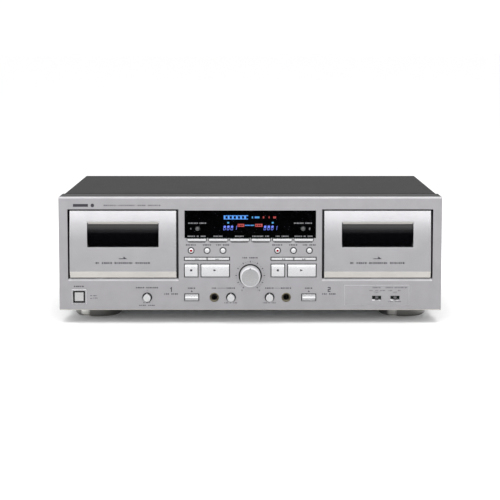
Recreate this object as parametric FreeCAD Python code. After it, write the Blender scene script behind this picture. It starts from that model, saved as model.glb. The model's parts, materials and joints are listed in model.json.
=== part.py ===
import FreeCAD, Part
import math
import os

# A double cassette deck. X runs to the right as seen from the front, Y to the back, Z up.
# The origin is under the middle of the deck, on the surface that it stands on. Millimetres.

V = FreeCAD.Vector
SIDES = {"left": -1, "right": 1}

# Overall
WIDTH = 435.0
FOOT_HEIGHT = 15.0
PANEL_HEIGHT = 130.0
FACE_Y = -128.0  # front face of the front panel
PANEL_T = 3.0
REAR_WALL_Y = 133.0  # outer face of the chassis' rear wall
PANEL_BACK_Y = FACE_Y + PANEL_T
BOTTOM_Z = FOOT_HEIGHT
TOP_Z = FOOT_HEIGHT + PANEL_HEIGHT
TOP_EDGE_R = 2.0
EDGE_CHAMFER = 1.0

# Plastic frame behind the panel, and the sheet metal
FRAME_BACK_Y = -90.0
FRAME_WALL = 2.5
FRAME_INSET = 0.3
FRAME_OPENING_Z = (20.0, 133.0)
FRAME_CENTRE_HALF_W = 76.9
FRAME_BAY_HALF_W = 65.8
FRAME_BAY_LOW_Z = 46.0
SHEET = 1.2
COVER_T = 1.0
COVER_HALF_W = 215.5
COVER_LOW_Z = 17.5
COVER_LIP = 11.0
SEAM = 0.2
CHASSIS_HALF_W = 213.8
CHASSIS_LOW_Z = 15.5
FLANGE_TOP_Z = 34.0
BEND_R = 2.0
VENT_COUNT = 12
VENT_SLOT = (3.0, 26.0)  # width and height
VENT_PITCH = 7.0
VENT_START = (-60.0, 96.0)  # x and z of the first slot's lower left corner

# Cassette bays
BAY_X = 144.5  # each bay's centre, from the middle
BAY_HALF_W = 63.0
BAY_LOW_Z = 51.0
BAY_TOP_Z = 130.7
BAY_CHAMFER = 2.4
HINGE_Y = -122.0
HINGE_Z = 51.5
HINGE_PIN_R = 1.5
RUNNING = 0.05  # radial clearance of a shaft in its hole

# Door, as a side profile that runs across the bay
DOOR_HALF_W = 60.6
DOOR_T = 2.0
DOOR_LOW_Z = 52.4
DOOR_BROW_Z = 59.9  # height of the edge that stands out furthest
DOOR_TOP_Z = 129.2
DOOR_BROW = 4.5  # how far that edge stands out of the panel
DOOR_FOOT = 1.0
DOOR_BACK_Y = -125.3
WINDOW_FACE = (81.0, 86.4, 116.6)  # width, low z, high z of the opening at the face
WINDOW_PANE = (77.6, 88.4, 113.6)
PANE_FRONT_Y = -127.2
PANE_T = 2.0
PANE_LAP = 2.2

# Cassette carrier on the back of the door
CASSETTE_HALF_W = 51.4
POCKET_FRONT_Y = -123.5
POCKET_BACK_Y = -110.5
POCKET_LOW_Z = 62.0
CARRIER_WALL = 3.0
CARRIER_Z = (57.0, 128.0)
CHEEK_LOW_Z = 59.5
CROSSBAR_BACK_Y = -121.0
SILL_INNER = 36.0  # the sill is open between here and the bay's centre, for the heads
LIP_T = 1.3
LIP_W = 3.0
ARM = (57.0, 60.0)  # hinge arms, from the bay's centre
ARM_R = 2.5

# Tape transport, places from the bay's centre
PLATE_FRONT_Y = -106.0
PLATE_BACK_Y = -104.0
PLATE_Z = (47.0, 128.0)
SIDE_WALL = (63.4, 65.4)
EAR_T = 1.5
EAR_Z = (60.0, 124.0)
POSTS = ((-42.0, 50.0), (48.0, 48.0), (48.0, 92.0))
POST_R = 2.5
REEL_DX = 21.25
REEL_Z = 99.0
REEL_SHAFT_R = 3.0
REEL_TABLE_R = 9.0
REEL_NOSE_R = 2.9
REEL_GEAR = (13.2, 14.2)  # root and tip radius
REEL_GEAR_Y = (-103.6, -101.0)
REEL_TEETH = 36
SPINDLE_TIP_Y = -118.3
CAPSTAN_DX = 27.0
CAPSTAN_Z = 68.0
CAPSTAN_R = 1.25
CAPSTAN_BEARING = (4.0, -90.0)  # radius, and the y of its back end
FLYWHEEL_R = 17.0
FLYWHEEL_Y = (-87.0, -78.0)
BELT_Y = (-84.0, -81.0)  # bottom of the belt's groove
GROOVE_Y = (-85.0, -80.0)  # its rims
GROOVE_DEPTH = 1.0
MOTOR_DX = -18.0
MOTOR_R = 12.5
MOTOR_BACK_Y = -88.0
PULLEY_R = 3.0
MOTOR_SHAFT_R = 1.0
MOTOR_HOLE = 8.0
BRIDGE_Y = (-74.0, -72.5)
BRIDGE_X = (-46.0, 52.0)
BRIDGE_Z = (44.0, 96.0)
CARRIAGE_FRONT_Y = -107.6
CARRIAGE_BACK_Y = -106.2
CARRIAGE_HALF_W = 33.0
CARRIAGE_Z = (47.5, 60.5)
CARRIAGE_TRAVEL = 5.6
HEAD_FRONT_Y = -119.0
HEAD_NOSE = (6.5, 54.8, 58.0)  # radius, z of its centre, and the z where it begins
ROLLER_R = 5.0
ROLLER_Y = (-118.5, -110.0)
ROLLER_PIN_R = 1.0
GUIDE_R = 1.5
GUIDE_DX = 13.0
GUIDE_Z = 57.0
GUIDE_TIP_Y = -108.6

# Display and its keys
DISPLAY_HALF_W = 74.7
DISPLAY_Z = (97.7, 129.4)
DISPLAY_RECESS = 0.3
COUNTER_X = 60.0
COUNTER_Z = 108.5
COUNTER_R = 2.5
FUNCTION_PITCH = 24.3
FUNCTION_KEY = (21.7, 94.2, 97.2)  # width, low z, high z
FUNCTION_GAP = 0.6
FUNCTION_CORNER = 1.3

# Keys of each deck, as offsets from the left end of its group
GROUP_X = {"left": -75.5, "right": 23.1}
GROUP_W = 52.4
WIND_Z = (72.7, 75.5)
WIND_SPLIT = 26.4
WIND_SPACE = 0.4  # half the space between the two wind keys
BIG_Z = (53.6, 67.6)
STOP_KEY = (0.9, 15.7)
DIVIDER = (16.6, 18.9)
PLAY_KEY = (19.8, 51.5)
ROUND_KEY_R = 3.1
ROUND_KEY_Z = 83.6
ROUND_HOLE_R = 3.9
ROUND_KEY_X = {"left": (-67.3, -49.1, -31.0), "right": (31.0, 49.1, 67.3)}
ROUND_KEY_NAMES = ("record", "pause", "mute")
KEY_GAP = 0.9  # all round a key in its slot
KEY_LAP = 1.3  # how far a key's flange reaches past its sides
KEY_PROUD = 1.0
FLANGE_Y = (-124.8, -123.8)
STEM_END_Y = -115.6
STEM_R = 1.5

# Lower row of controls
LOW_Z = 29.7
EJECT_X = 66.7
EJECT_W = 15.2
EJECT_Z = (26.2, 33.2)
EJECT_PROUD = 3.6
LEVEL_X = 22.0
PITCH_X = -117.5
KNOB_R = 4.7
KNOB_HOLE_R = 5.6
KNOB_PROUD = 6.0
POT_SHAFT_R = 2.0
REC_Z = 54.85
REC_R = 12.0
REC_TIP_R = 11.3
REC_HOLE_R = 13.2
REC_PROUD = 15.0
REC_SHAFT_R = 3.0
POT_FRONT_Y = -117.0
JACK_X = 41.0
JACK_R = 5.3
JACK_BORE_R = 3.2
JACK_DEPTH = 26.0
POWER_X = -195.1
POWER_Z = 30.4
POWER_KEY = 10.4
POWER_HOLE = 13.6
POWER_BEZEL = 17.1
POWER_ROOM = 15.6
POWER_SWITCH = (14.0, -106.0, -91.0)  # side, front and back
SWITCH_PAD = (107.4, 181.1, 20.8, 44.0)
PAD_PROUD = 0.6
SWITCH_X = {"timer": 144.1, "noise_reduction": 165.0}
SWITCH_SLOT = (10.4, 3.9)
SWITCH_LEVER = (3.6, 2.8)
SWITCH_BODY = (14.0, 7.0)
SWITCH_FRONT_Y = -117.8

# Boards
BOARD_FRONT_Y = -112.0
BOARD_T = 1.6
BOARD_LOW_Z = 20.5
SMALL_BOARD_TOP = 39.0
CONTROL_BOARD = (76.0, 40.5, 132.0)  # half-width, then lowest and highest
LEVEL_BOARD_HALF = 33.5  # it ends short of the jack sockets
PITCH_BOARD_HALF = 12.0
SWITCH_BOARD_HALF = 20.0
TACT_SWITCH = (3.0, 2.3)  # side and depth
DISPLAY_TUBE = (-50.0, 50.0, -122.5, -116.5, 101.0, 127.0)
MAIN_BOARD = (-90.0, 195.0, -45.0, 112.0)
MAIN_BOARD_Z = 26.0
CAPACITOR = (6.5, 26.0)  # radius and height
SMALL_CAPACITOR = (4.0, 12.0)
CHIP = (22.0, 9.0, 3.0)
HEAT_SINK = (-40.0, 0.0, 70.0, 74.0)
HEAT_SINK_H = 30.0
TRANSFORMER_FOOT = (-195.0, -125.0, 25.0, 75.0)
TRANSFORMER_CORE = (-188.0, -132.0, 30.0, 70.0)
TRANSFORMER_COIL = (-178.0, -142.0, 18.0, 82.0)

# Feet
FOOT_R = 28.0
FOOT_LOW_R = 27.2
FOOT_PAD = (25.0, 1.2)
FOOT_X = 179.5
FOOT_Y = (-61.6, 95.0)

# Rear sockets
RCA_R = 4.15
RCA_LENGTH = 9.0
RCA_X = (150.0, 168.0)
RCA_Z = (62.0, 80.0)
INLET_X = -165.0
INLET_Z = 45.0
INLET_LOBE = 4.3
INLET_LOBE_R = 4.1
INLET_BODY = (22.0, 14.0)
INLET_RIM = 2.0
INLET_DEPTH = 15.0

# Screws
SCREW_R = 1.45
SCREW_HOLE_R = 1.5
SCREW_HEAD_R = 3.1
SCREW_HEAD_T = 1.8
SIDE_SCREW_Y = (-60.0, 100.0)
SIDE_SCREW_Z = 26.0
REAR_SCREW_X = (-150.0, 0.0, 150.0)
REAR_SCREW_Z = 138.5


# ---------------------------------------------------------------- helpers

def box(x0, x1, y0, y1, z0, z1):
    return Part.makeBox(x1 - x0, y1 - y0, z1 - z0, V(x0, y0, z0))


def rod(axis, centre, radius, start, end):
    """A cylinder along one axis. centre is its two other coordinates, in X, Y, Z order."""
    a, b = centre
    base = {"x": V(start, a, b), "y": V(a, start, b), "z": V(a, b, start)}[axis]
    way = {"x": V(1, 0, 0), "y": V(0, 1, 0), "z": V(0, 0, 1)}[axis]
    return Part.makeCylinder(radius, end - start, base, way)


def prism_x(outline, x0, x1):
    """A closed (y, z) outline of points, carried from x0 to x1."""
    points = [V(x0, y, z) for y, z in outline]
    return Part.Face(Part.makePolygon(points + points[:1])).extrude(V(x1 - x0, 0, 0))


def turned_y(outline, x, z):
    """A closed (radius, y) outline, turned about a line along Y."""
    points = [V(x + r, y, z) for r, y in outline]
    face = Part.Face(Part.makePolygon(points + points[:1]))
    return face.revolve(V(x, 0, z), V(0, 1, 0), 360)


def fused(first, *others):
    return first.fuse(list(others)).removeSplitter()


def edges_at(shape, **where):
    """The edges that lie flat at the given x, y and z values."""
    found = []
    for edge in shape.Edges:
        b = edge.BoundBox
        spans = {"x": (b.XMin, b.XMax), "y": (b.YMin, b.YMax), "z": (b.ZMin, b.ZMax)}
        if all(max(abs(v - at) for v in spans[axis]) < 1e-4 for axis, at in where.items()):
            found.append(edge)
    return found


def rounded(shape, radius, **where):
    return shape.makeFillet(radius, edges_at(shape, **where))


def soft_bottom(rect, y0, y1, radius):
    """A block whose two lower corners are rounded, as seen from the front."""
    x0, x1, z0, z1 = rect
    block = box(x0, x1, y0, y1, z0, z1)
    corners = [edge for x in (x0, x1) for edge in edges_at(block, x=x, z=z0)]
    return block.makeFillet(radius, corners)


def chamfered(shape, size, **where):
    return shape.makeChamfer(size, edges_at(shape, **where))


def grown(x0, x1, z0, z1, by):
    return x0 - by, x1 + by, z0 - by, z1 + by


def through(x0, x1, z0, z1, y0=FACE_Y - 8, y1=PANEL_BACK_Y + 1):
    """A cutter through the panel for a rectangle."""
    return box(x0, x1, y0, y1, z0, z1)


def save(name, *solids):
    shape = solids[0] if len(solids) == 1 else Part.makeCompound(list(solids))
    if not shape.isValid():
        print("invalid:", name)
    print(f"{name:28s} {len(shape.Solids)} solids  {shape.Volume:12.1f} mm3")
    shape.exportStep(f"parts/{name}.step")


# ---------------------------------------------------------------- places of the keys

def wind_rects(side):
    """(x0, x1, z0, z1) of the rewind and the forward key."""
    x = GROUP_X[side]
    rewind = (x + KEY_GAP, x + WIND_SPLIT - WIND_SPACE, *WIND_Z)
    forward = (x + WIND_SPLIT + WIND_SPACE, x + GROUP_W - KEY_GAP, *WIND_Z)
    return rewind, forward


def big_rects(side):
    """(x0, x1, z0, z1) of the stop and the play key."""
    x = GROUP_X[side]
    return [(x + a, x + b, *BIG_Z) for a, b in (STOP_KEY, PLAY_KEY)]


def function_rects():
    width, low, high = FUNCTION_KEY
    centres = [(n - 2.5) * FUNCTION_PITCH for n in range(6)]
    return [(x - width / 2, x + width / 2, low, high) for x in centres]


def square(x, z, side):
    return x - side / 2, x + side / 2, z - side / 2, z + side / 2


def eject_rect(sign):
    x = sign * EJECT_X
    return x - EJECT_W / 2, x + EJECT_W / 2, *EJECT_Z


# ---------------------------------------------------------------- front panel

def panel_blank():
    """The bare plate with its rounded top edge, the power bezel and the raised switch pad."""
    plate = box(-WIDTH / 2, WIDTH / 2, FACE_Y, PANEL_BACK_Y, BOTTOM_Z, TOP_Z)
    plate = rounded(plate, TOP_EDGE_R, y=FACE_Y, z=TOP_Z)
    plate = chamfered(plate, EDGE_CHAMFER, y=FACE_Y, z=BOTTOM_Z)
    raised = []
    for rect, proud in ((square(POWER_X, POWER_Z, POWER_BEZEL), 1.0), (SWITCH_PAD, PAD_PROUD)):
        x0, x1, z0, z1 = rect
        block = box(x0, x1, FACE_Y - proud, FACE_Y + 1, z0, z1)
        raised.append(chamfered(block, proud * 0.6, y=FACE_Y - proud))
    return fused(plate, *raised)


def bay_cutter(side):
    """One bay's opening, with the sloped sill that leaves room for the door's lower edge."""
    x = SIDES[side] * BAY_X
    hole = through(x - BAY_HALF_W, x + BAY_HALF_W, BAY_LOW_Z, BAY_TOP_Z)
    sill = [
        (FACE_Y - 1, BAY_LOW_Z - BAY_CHAMFER - 1),
        (FACE_Y + BAY_CHAMFER, BAY_LOW_Z),
        (FACE_Y - 1, BAY_LOW_Z),
    ]
    return fused(hole, prism_x(sill, x - BAY_HALF_W, x + BAY_HALF_W))


def display_cutter():
    """The display's opening, with a notch under it for each function key."""
    opening = through(-DISPLAY_HALF_W, DISPLAY_HALF_W, *DISPLAY_Z)
    notches = []
    for x0, x1, z0, z1 in function_rects():
        low = z0 - FUNCTION_GAP
        notch = (x0 - FUNCTION_GAP, x1 + FUNCTION_GAP, low, DISPLAY_Z[0] + 1)
        corner = FUNCTION_CORNER + FUNCTION_GAP
        notches.append(soft_bottom(notch, FACE_Y - 1, PANEL_BACK_Y + 1, corner))
        slope = [(FACE_Y - 1, low - 2), (FACE_Y + 1, low), (FACE_Y - 1, low)]
        notches.append(prism_x(slope, x0 + corner - FUNCTION_GAP, x1 - corner + FUNCTION_GAP))
    return fused(opening, *notches)


def key_cutters(side):
    """The slots and holes of one deck's keys."""
    x = GROUP_X[side]
    cutters = [through(x, x + GROUP_W, WIND_Z[0] - KEY_GAP, WIND_Z[1] + KEY_GAP)]
    low, high = BIG_Z[0] - KEY_GAP, BIG_Z[1] + KEY_GAP
    cutters.append(through(x, x + DIVIDER[0], low, high))
    cutters.append(through(x + DIVIDER[1], x + GROUP_W, low, high))
    cutters.append(through(*grown(*eject_rect(SIDES[side]), KEY_GAP)))
    for key_x in ROUND_KEY_X[side]:
        cutters.append(rod("y", (key_x, ROUND_KEY_Z), ROUND_HOLE_R, FACE_Y - 1, PANEL_BACK_Y + 1))
    return cutters


def switch_cutters():
    cutters = []
    for x in SWITCH_X.values():
        w, h = SWITCH_SLOT
        cutters.append(through(x - w / 2, x + w / 2, LOW_Z - h / 2, LOW_Z + h / 2))
        low = LOW_Z - h / 2
        slope = [(FACE_Y - 2, low - 3), (FACE_Y + 1, low), (FACE_Y - 2, low)]
        cutters.append(prism_x(slope, x - w / 2, x + w / 2))
    return cutters


def front_panel():
    cutters = [bay_cutter(side) for side in SIDES]
    for side in SIDES:
        cutters += key_cutters(side)
    cutters += [display_cutter(), *switch_cutters(), through(*square(POWER_X, POWER_Z, POWER_HOLE))]
    holes = [(0, REC_Z, REC_HOLE_R), (PITCH_X, LOW_Z, KNOB_HOLE_R)]
    for sign in (-1, 1):
        holes.append((sign * LEVEL_X, LOW_Z, KNOB_HOLE_R))
        holes.append((sign * JACK_X, LOW_Z, JACK_R + 0.1))
    for x, z, r in holes:
        cutters.append(rod("y", (x, z), r, FACE_Y - 1, PANEL_BACK_Y + 1))
    dividers = []
    for side in SIDES:
        x = GROUP_X[side]
        block = box(x + DIVIDER[0], x + DIVIDER[1], FACE_Y - 0.6, FACE_Y + 1, *BIG_Z)
        dividers.append(rounded(block, 0.3, y=FACE_Y - 0.6))
    return fused(panel_blank().cut(cutters), *dividers)


# ---------------------------------------------------------------- frame, chassis and cover

def front_subframe():
    """A moulded frame, open at the back, with openings behind the bays and the controls."""
    half = WIDTH / 2 - FRAME_INSET
    top = TOP_Z - FRAME_INSET
    low = BOTTOM_Z + FRAME_INSET
    body = box(-half, half, PANEL_BACK_Y, FRAME_BACK_Y, low, top)
    face_back = PANEL_BACK_Y + FRAME_WALL
    inside = box(-half + FRAME_WALL, half - FRAME_WALL, face_back, FRAME_BACK_Y + 1,
                 low + FRAME_WALL, top - FRAME_WALL)
    y0, y1 = PANEL_BACK_Y - 1, face_back + 1
    centre = box(-FRAME_CENTRE_HALF_W, FRAME_CENTRE_HALF_W, y0, y1, *FRAME_OPENING_Z)
    cutters = [inside, centre]
    for sign in SIDES.values():
        x = sign * BAY_X
        cutters.append(box(x - FRAME_BAY_HALF_W, x + FRAME_BAY_HALF_W, y0, y1,
                           FRAME_BAY_LOW_Z, FRAME_OPENING_Z[1]))
    x0, x1, z0, z1 = square(POWER_X, POWER_Z, POWER_ROOM)
    cutters.append(box(x0, x1, y0, y1, z0, z1))
    cutters.append(rod("y", (PITCH_X, LOW_Z), KNOB_HOLE_R + 1, y0, y1))
    w, h = SWITCH_BODY
    for x in SWITCH_X.values():
        cutters.append(box(x - w / 2, x + w / 2, y0, y1, LOW_Z - h / 2, LOW_Z + h / 2))
    return body.cut(cutters)


def side_screw_rods(radius):
    rods = []
    for y in SIDE_SCREW_Y:
        rods.append(rod("x", (y, SIDE_SCREW_Z), radius, -WIDTH / 2, WIDTH / 2))
    return rods


def rear_screw_rods(radius):
    return [rod("y", (x, REAR_SCREW_Z), radius, REAR_WALL_Y - 5, REAR_WALL_Y + 5) for x in REAR_SCREW_X]


def bottom_chassis():
    """A folded tray: floor, two side flanges, a front flange and the full-height rear wall."""
    front = FRAME_BACK_Y + SEAM
    low, floor = CHASSIS_LOW_Z, CHASSIS_LOW_Z + SHEET
    w = CHASSIS_HALF_W
    rear_top = TOP_Z - COVER_T - SEAM
    tray = fused(
        box(-w, w, front, REAR_WALL_Y, low, floor),
        box(-w, -w + SHEET, front, REAR_WALL_Y, low, FLANGE_TOP_Z),
        box(w - SHEET, w, front, REAR_WALL_Y, low, FLANGE_TOP_Z),
        box(-w, w, front, front + SHEET, low, FLANGE_TOP_Z),
        box(-w, w, REAR_WALL_Y - SHEET, REAR_WALL_Y, low, rear_top),
    )
    cutters = side_screw_rods(SCREW_HOLE_R) + rear_screw_rods(SCREW_HOLE_R)
    for x in RCA_X:
        for z in RCA_Z:
            cutters.append(rod("y", (x, z), 3.6, REAR_WALL_Y - 3, REAR_WALL_Y + 1))
    half_w, half_h = INLET_BODY[0] / 2 + 0.1, INLET_BODY[1] / 2 + 0.1
    cutters.append(box(INLET_X - half_w, INLET_X + half_w, REAR_WALL_Y - 3, REAR_WALL_Y + 1,
                       INLET_Z - half_h, INLET_Z + half_h))
    vent_x, vent_z = VENT_START
    vent_w, vent_h = VENT_SLOT
    for n in range(VENT_COUNT):
        x = vent_x + n * VENT_PITCH
        cutters.append(box(x, x + vent_w, REAR_WALL_Y - 3, REAR_WALL_Y + 1, vent_z, vent_z + vent_h))
    return tray.cut(cutters)


def top_cover():
    """A folded steel bonnet over the top and both sides, with a lip that laps the rear wall."""
    w, t = COVER_HALF_W, COVER_T
    back = REAR_WALL_Y + t
    front = FRAME_BACK_Y + SEAM
    outer = box(-w, w, front, back, COVER_LOW_Z, TOP_Z)
    bends = [e for x in (-w, w) for e in edges_at(outer, x=x, z=TOP_Z)]
    outer = outer.makeFillet(BEND_R, bends)
    inner = box(-w + t, w - t, front - 1, REAR_WALL_Y, COVER_LOW_Z - 1, TOP_Z - t)
    bends = [e for x in (-w + t, w - t) for e in edges_at(inner, x=x, z=TOP_Z - t)]
    inner = inner.makeFillet(BEND_R - t, bends)
    below_lip = box(-w + t, w - t, REAR_WALL_Y - 1, back + 1, COVER_LOW_Z - 1, TOP_Z - COVER_LIP)
    cutters = [inner, below_lip] + side_screw_rods(SCREW_HOLE_R) + rear_screw_rods(SCREW_HOLE_R)
    return outer.cut(cutters)


def screw(base, way):
    """A pan-head screw whose head rests at base and whose shank runs along way."""
    head = Part.makeCylinder(SCREW_HEAD_R, SCREW_HEAD_T, base - way * SCREW_HEAD_T, way)
    head = head.makeFillet(0.7, [e for e in head.Edges if e.CenterOfMass.distanceToPoint(
        base - way * SCREW_HEAD_T) < 0.1 and e.Length > SCREW_HEAD_R * 6])
    shank = Part.makeCylinder(SCREW_R, 5.0, base, way)
    drive = [box(-2.1, 2.1, -0.4, 0.4, -0.1, 0.9), box(-0.4, 0.4, -2.1, 2.1, -0.1, 0.9)]
    cross = fused(*drive)
    cross.Placement = FreeCAD.Placement(base - way * SCREW_HEAD_T, FreeCAD.Rotation(V(0, 0, 1), way))
    return fused(head, shank).cut(cross)


def cover_screws():
    solids = []
    for y in SIDE_SCREW_Y:
        for sign in (-1, 1):
            solids.append(screw(V(sign * COVER_HALF_W, y, SIDE_SCREW_Z), V(-sign, 0, 0)))
    for x in REAR_SCREW_X:
        solids.append(screw(V(x, REAR_WALL_Y + COVER_T, REAR_SCREW_Z), V(0, -1, 0)))
    return solids


def feet():
    """Four plated cups, each on its own rubber pad."""
    pad_r, pad_t = FOOT_PAD
    cups, pads = [], []
    for x in (-FOOT_X, FOOT_X):
        for y in FOOT_Y:
            cup = Part.makeCone(FOOT_LOW_R, FOOT_R, CHASSIS_LOW_Z - pad_t, V(x, y, pad_t))
            cups.append(rounded(cup, 1.2, z=pad_t))
            pads.append(rod("z", (x, y), pad_r, 0, pad_t))
    return cups + pads


# ---------------------------------------------------------------- doors

def door_depth(z, inset=0.0):
    """Y of the door's face at a height: upright at the brow, leaning back towards the top."""
    share = (z - DOOR_BROW_Z) / (DOOR_TOP_Z - DOOR_BROW_Z)
    return FACE_Y - DOOR_BROW * (1 - share ** 2) + inset


def door_profile(x0, x1, inset):
    """The door's side outline, inset all round, as a block across x0 to x1."""
    brow, top = DOOR_BROW_Z + inset * 0.3, DOOR_TOP_Z - inset
    middle = (brow + top) / 2
    foot = V(x0, FACE_Y - DOOR_FOOT + inset, DOOR_LOW_Z + inset * 1.2)
    low_back = V(x0, DOOR_BACK_Y, DOOR_LOW_Z + 1.8 + inset)
    brow_at = V(x0, door_depth(brow, inset), brow)
    top_at = V(x0, min(door_depth(top, inset), DOOR_BACK_Y - 0.1), top)
    arc = Part.Arc(brow_at, V(x0, door_depth(middle, inset), middle), top_at).toShape()
    top_back = V(x0, DOOR_BACK_Y, top)
    ends = [(top_at, top_back), (top_back, low_back), (low_back, foot), (foot, brow_at)]
    wire = Part.Wire([arc] + [Part.makeLine(a, b) for a, b in ends])
    return Part.Face(wire).extrude(V(x1 - x0, 0, 0))


def window_funnel(x):
    """The tapered hole from the door's face to the pane."""
    faces = []
    for (w, low, high), y in ((WINDOW_FACE, FACE_Y - DOOR_BROW), (WINDOW_PANE, PANE_FRONT_Y)):
        corners = [(x - w / 2, low), (x + w / 2, low), (x + w / 2, high), (x - w / 2, high)]
        points = [V(a, y, b) for a, b in corners]
        faces.append(Part.makePolygon(points + points[:1]))
    funnel = Part.makeLoft(faces, True, True)
    w, low, high = WINDOW_PANE
    back = box(x - w / 2, x + w / 2, PANE_FRONT_Y - 0.01, DOOR_BACK_Y + 1, low, high)
    return funnel, back


def door_panel(sign):
    """A hollow curved shell with a deep frame round the window."""
    x = sign * BAY_X
    outer = door_profile(x - DOOR_HALF_W, x + DOOR_HALF_W, 0)
    hollow = door_profile(x - DOOR_HALF_W + DOOR_T, x + DOOR_HALF_W - DOOR_T, DOOR_T)
    w, low, high = WINDOW_FACE
    surround = box(x - w / 2 - DOOR_T, x + w / 2 + DOOR_T, FACE_Y - 8, PANE_FRONT_Y,
                   low - DOOR_T, high + DOOR_T)
    shell = outer.cut(hollow.cut(surround))
    return shell.cut(list(window_funnel(x)))


def door_window(sign):
    x = sign * BAY_X
    w, low, high = WINDOW_PANE
    return box(x - w / 2 - PANE_LAP, x + w / 2 + PANE_LAP, PANE_FRONT_Y, PANE_FRONT_Y + PANE_T,
               low - PANE_LAP, high + PANE_LAP)


def cassette_carrier(sign):
    """The pocket that holds the cassette: front plate, cheeks with rear lips, sill and hinge arms."""
    x = sign * BAY_X
    front = PANE_FRONT_Y + PANE_T + 0.1
    back = POCKET_BACK_Y + LIP_T
    w, low, high = WINDOW_PANE
    inner, outer = CASSETTE_HALF_W, CASSETTE_HALF_W + CARRIER_WALL
    bottom, top = CARRIER_Z
    plate = box(x - outer, x + outer, front, POCKET_FRONT_Y, bottom, top)
    plate = plate.cut(box(x - w / 2, x + w / 2, front - 1, POCKET_FRONT_Y + 1, low, high))
    parts = [box(x - ARM[1], x + ARM[1], front, CROSSBAR_BACK_Y, bottom, POCKET_LOW_Z)]
    for way in (-1, 1):
        cheek = sorted((x + way * inner, x + way * outer))
        lip = sorted((x + way * (inner - LIP_W), x + way * inner))
        sill = sorted((x + way * SILL_INNER, x + way * inner))
        arm = sorted((x + way * ARM[0], x + way * ARM[1]))
        pin = sorted((x + way * (ARM[1] - 1), x + way * SIDE_WALL[1]))
        parts.append(box(*cheek, POCKET_FRONT_Y, back, CHEEK_LOW_Z, top))
        parts.append(box(*lip, POCKET_BACK_Y, back, CHEEK_LOW_Z, top - LIP_W))
        parts.append(box(*sill, CROSSBAR_BACK_Y, back, CHEEK_LOW_Z, POCKET_LOW_Z))
        parts.append(box(*arm, HINGE_Y - ARM_R, HINGE_Y + ARM_R, HINGE_Z, CHEEK_LOW_Z))
        parts.append(rod("x", (HINGE_Y, HINGE_Z), ARM_R, *arm))
        parts.append(rod("x", (HINGE_Y, HINGE_Z), HINGE_PIN_R, *pin))
    return fused(plate, *parts)


# ---------------------------------------------------------------- tape transports

def transport_frame(sign):
    """Base plate, side walls with the door's bearings, capstan bearing, posts and rear bridge."""
    x = sign * BAY_X
    face_back = PANEL_BACK_Y + FRAME_WALL
    wall_in, wall_out = SIDE_WALL
    bearing_r, bearing_back = CAPSTAN_BEARING
    parts = [box(x - wall_out, x + wall_out, PLATE_FRONT_Y, PLATE_BACK_Y, *PLATE_Z)]
    for way in (-1, 1):
        reach = 2.2 if way != sign else 4.0  # the inner ear stops short of the keys
        wall = sorted((x + way * wall_in, x + way * wall_out))
        ear = sorted((x + way * wall_in, x + way * (wall_out + reach)))
        parts.append(box(*wall, face_back, PLATE_BACK_Y, *PLATE_Z))
        parts.append(box(*ear, face_back, face_back + EAR_T, *EAR_Z))
        guide = (x + way * GUIDE_DX, GUIDE_Z)
        parts.append(rod("y", guide, GUIDE_R, GUIDE_TIP_Y, PLATE_FRONT_Y + 1))
    parts.append(rod("y", (x + CAPSTAN_DX, CAPSTAN_Z), bearing_r, PLATE_FRONT_Y, bearing_back))
    for dx, z in POSTS:
        parts.append(rod("y", (x + dx, z), POST_R, PLATE_BACK_Y - 1, BRIDGE_Y[0] + 0.5))
    parts.append(box(x + BRIDGE_X[0], x + BRIDGE_X[1], *BRIDGE_Y, *BRIDGE_Z))
    y0, y1 = PLATE_FRONT_Y - 4, PLATE_BACK_Y + 4
    hinge_r, reel_r, capstan_r = (r + RUNNING for r in (HINGE_PIN_R, REEL_SHAFT_R, CAPSTAN_R))
    holes = [rod("x", (HINGE_Y, HINGE_Z), hinge_r, x - wall_out - 5, x + wall_out + 5)]
    for dx in (-REEL_DX, REEL_DX):
        holes.append(rod("y", (x + dx, REEL_Z), reel_r, y0, y1))
    holes.append(rod("y", (x + CAPSTAN_DX, CAPSTAN_Z), capstan_r, y0, bearing_back + 5))
    return fused(*parts).cut(holes)


def capstan_motor(sign):
    """The motor's can on the back of the base plate, with the hole that its shaft turns in."""
    centre = (sign * BAY_X + MOTOR_DX, CAPSTAN_Z)
    can = rod("y", centre, MOTOR_R, PLATE_BACK_Y, MOTOR_BACK_Y)
    can = rounded(can, 1.5, y=MOTOR_BACK_Y)
    hole = rod("y", centre, MOTOR_SHAFT_R + RUNNING, MOTOR_BACK_Y - MOTOR_HOLE, MOTOR_BACK_Y + 1)
    return can.cut(hole)


def motor_pulley(sign):
    x = sign * BAY_X + MOTOR_DX
    rim = PULLEY_R + GROOVE_DEPTH
    front, back = GROOVE_Y[0] - 1.5, GROOVE_Y[1] + 1.5
    outline = [(0, front), (rim, front), (rim, GROOVE_Y[0]), (PULLEY_R, BELT_Y[0]),
               (PULLEY_R, BELT_Y[1]), (rim, GROOVE_Y[1]), (rim, back), (0, back)]
    shaft = rod("y", (x, CAPSTAN_Z), MOTOR_SHAFT_R, MOTOR_BACK_Y - MOTOR_HOLE + 1, back + 1.5)
    return fused(turned_y(outline, x, CAPSTAN_Z), shaft)


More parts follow.
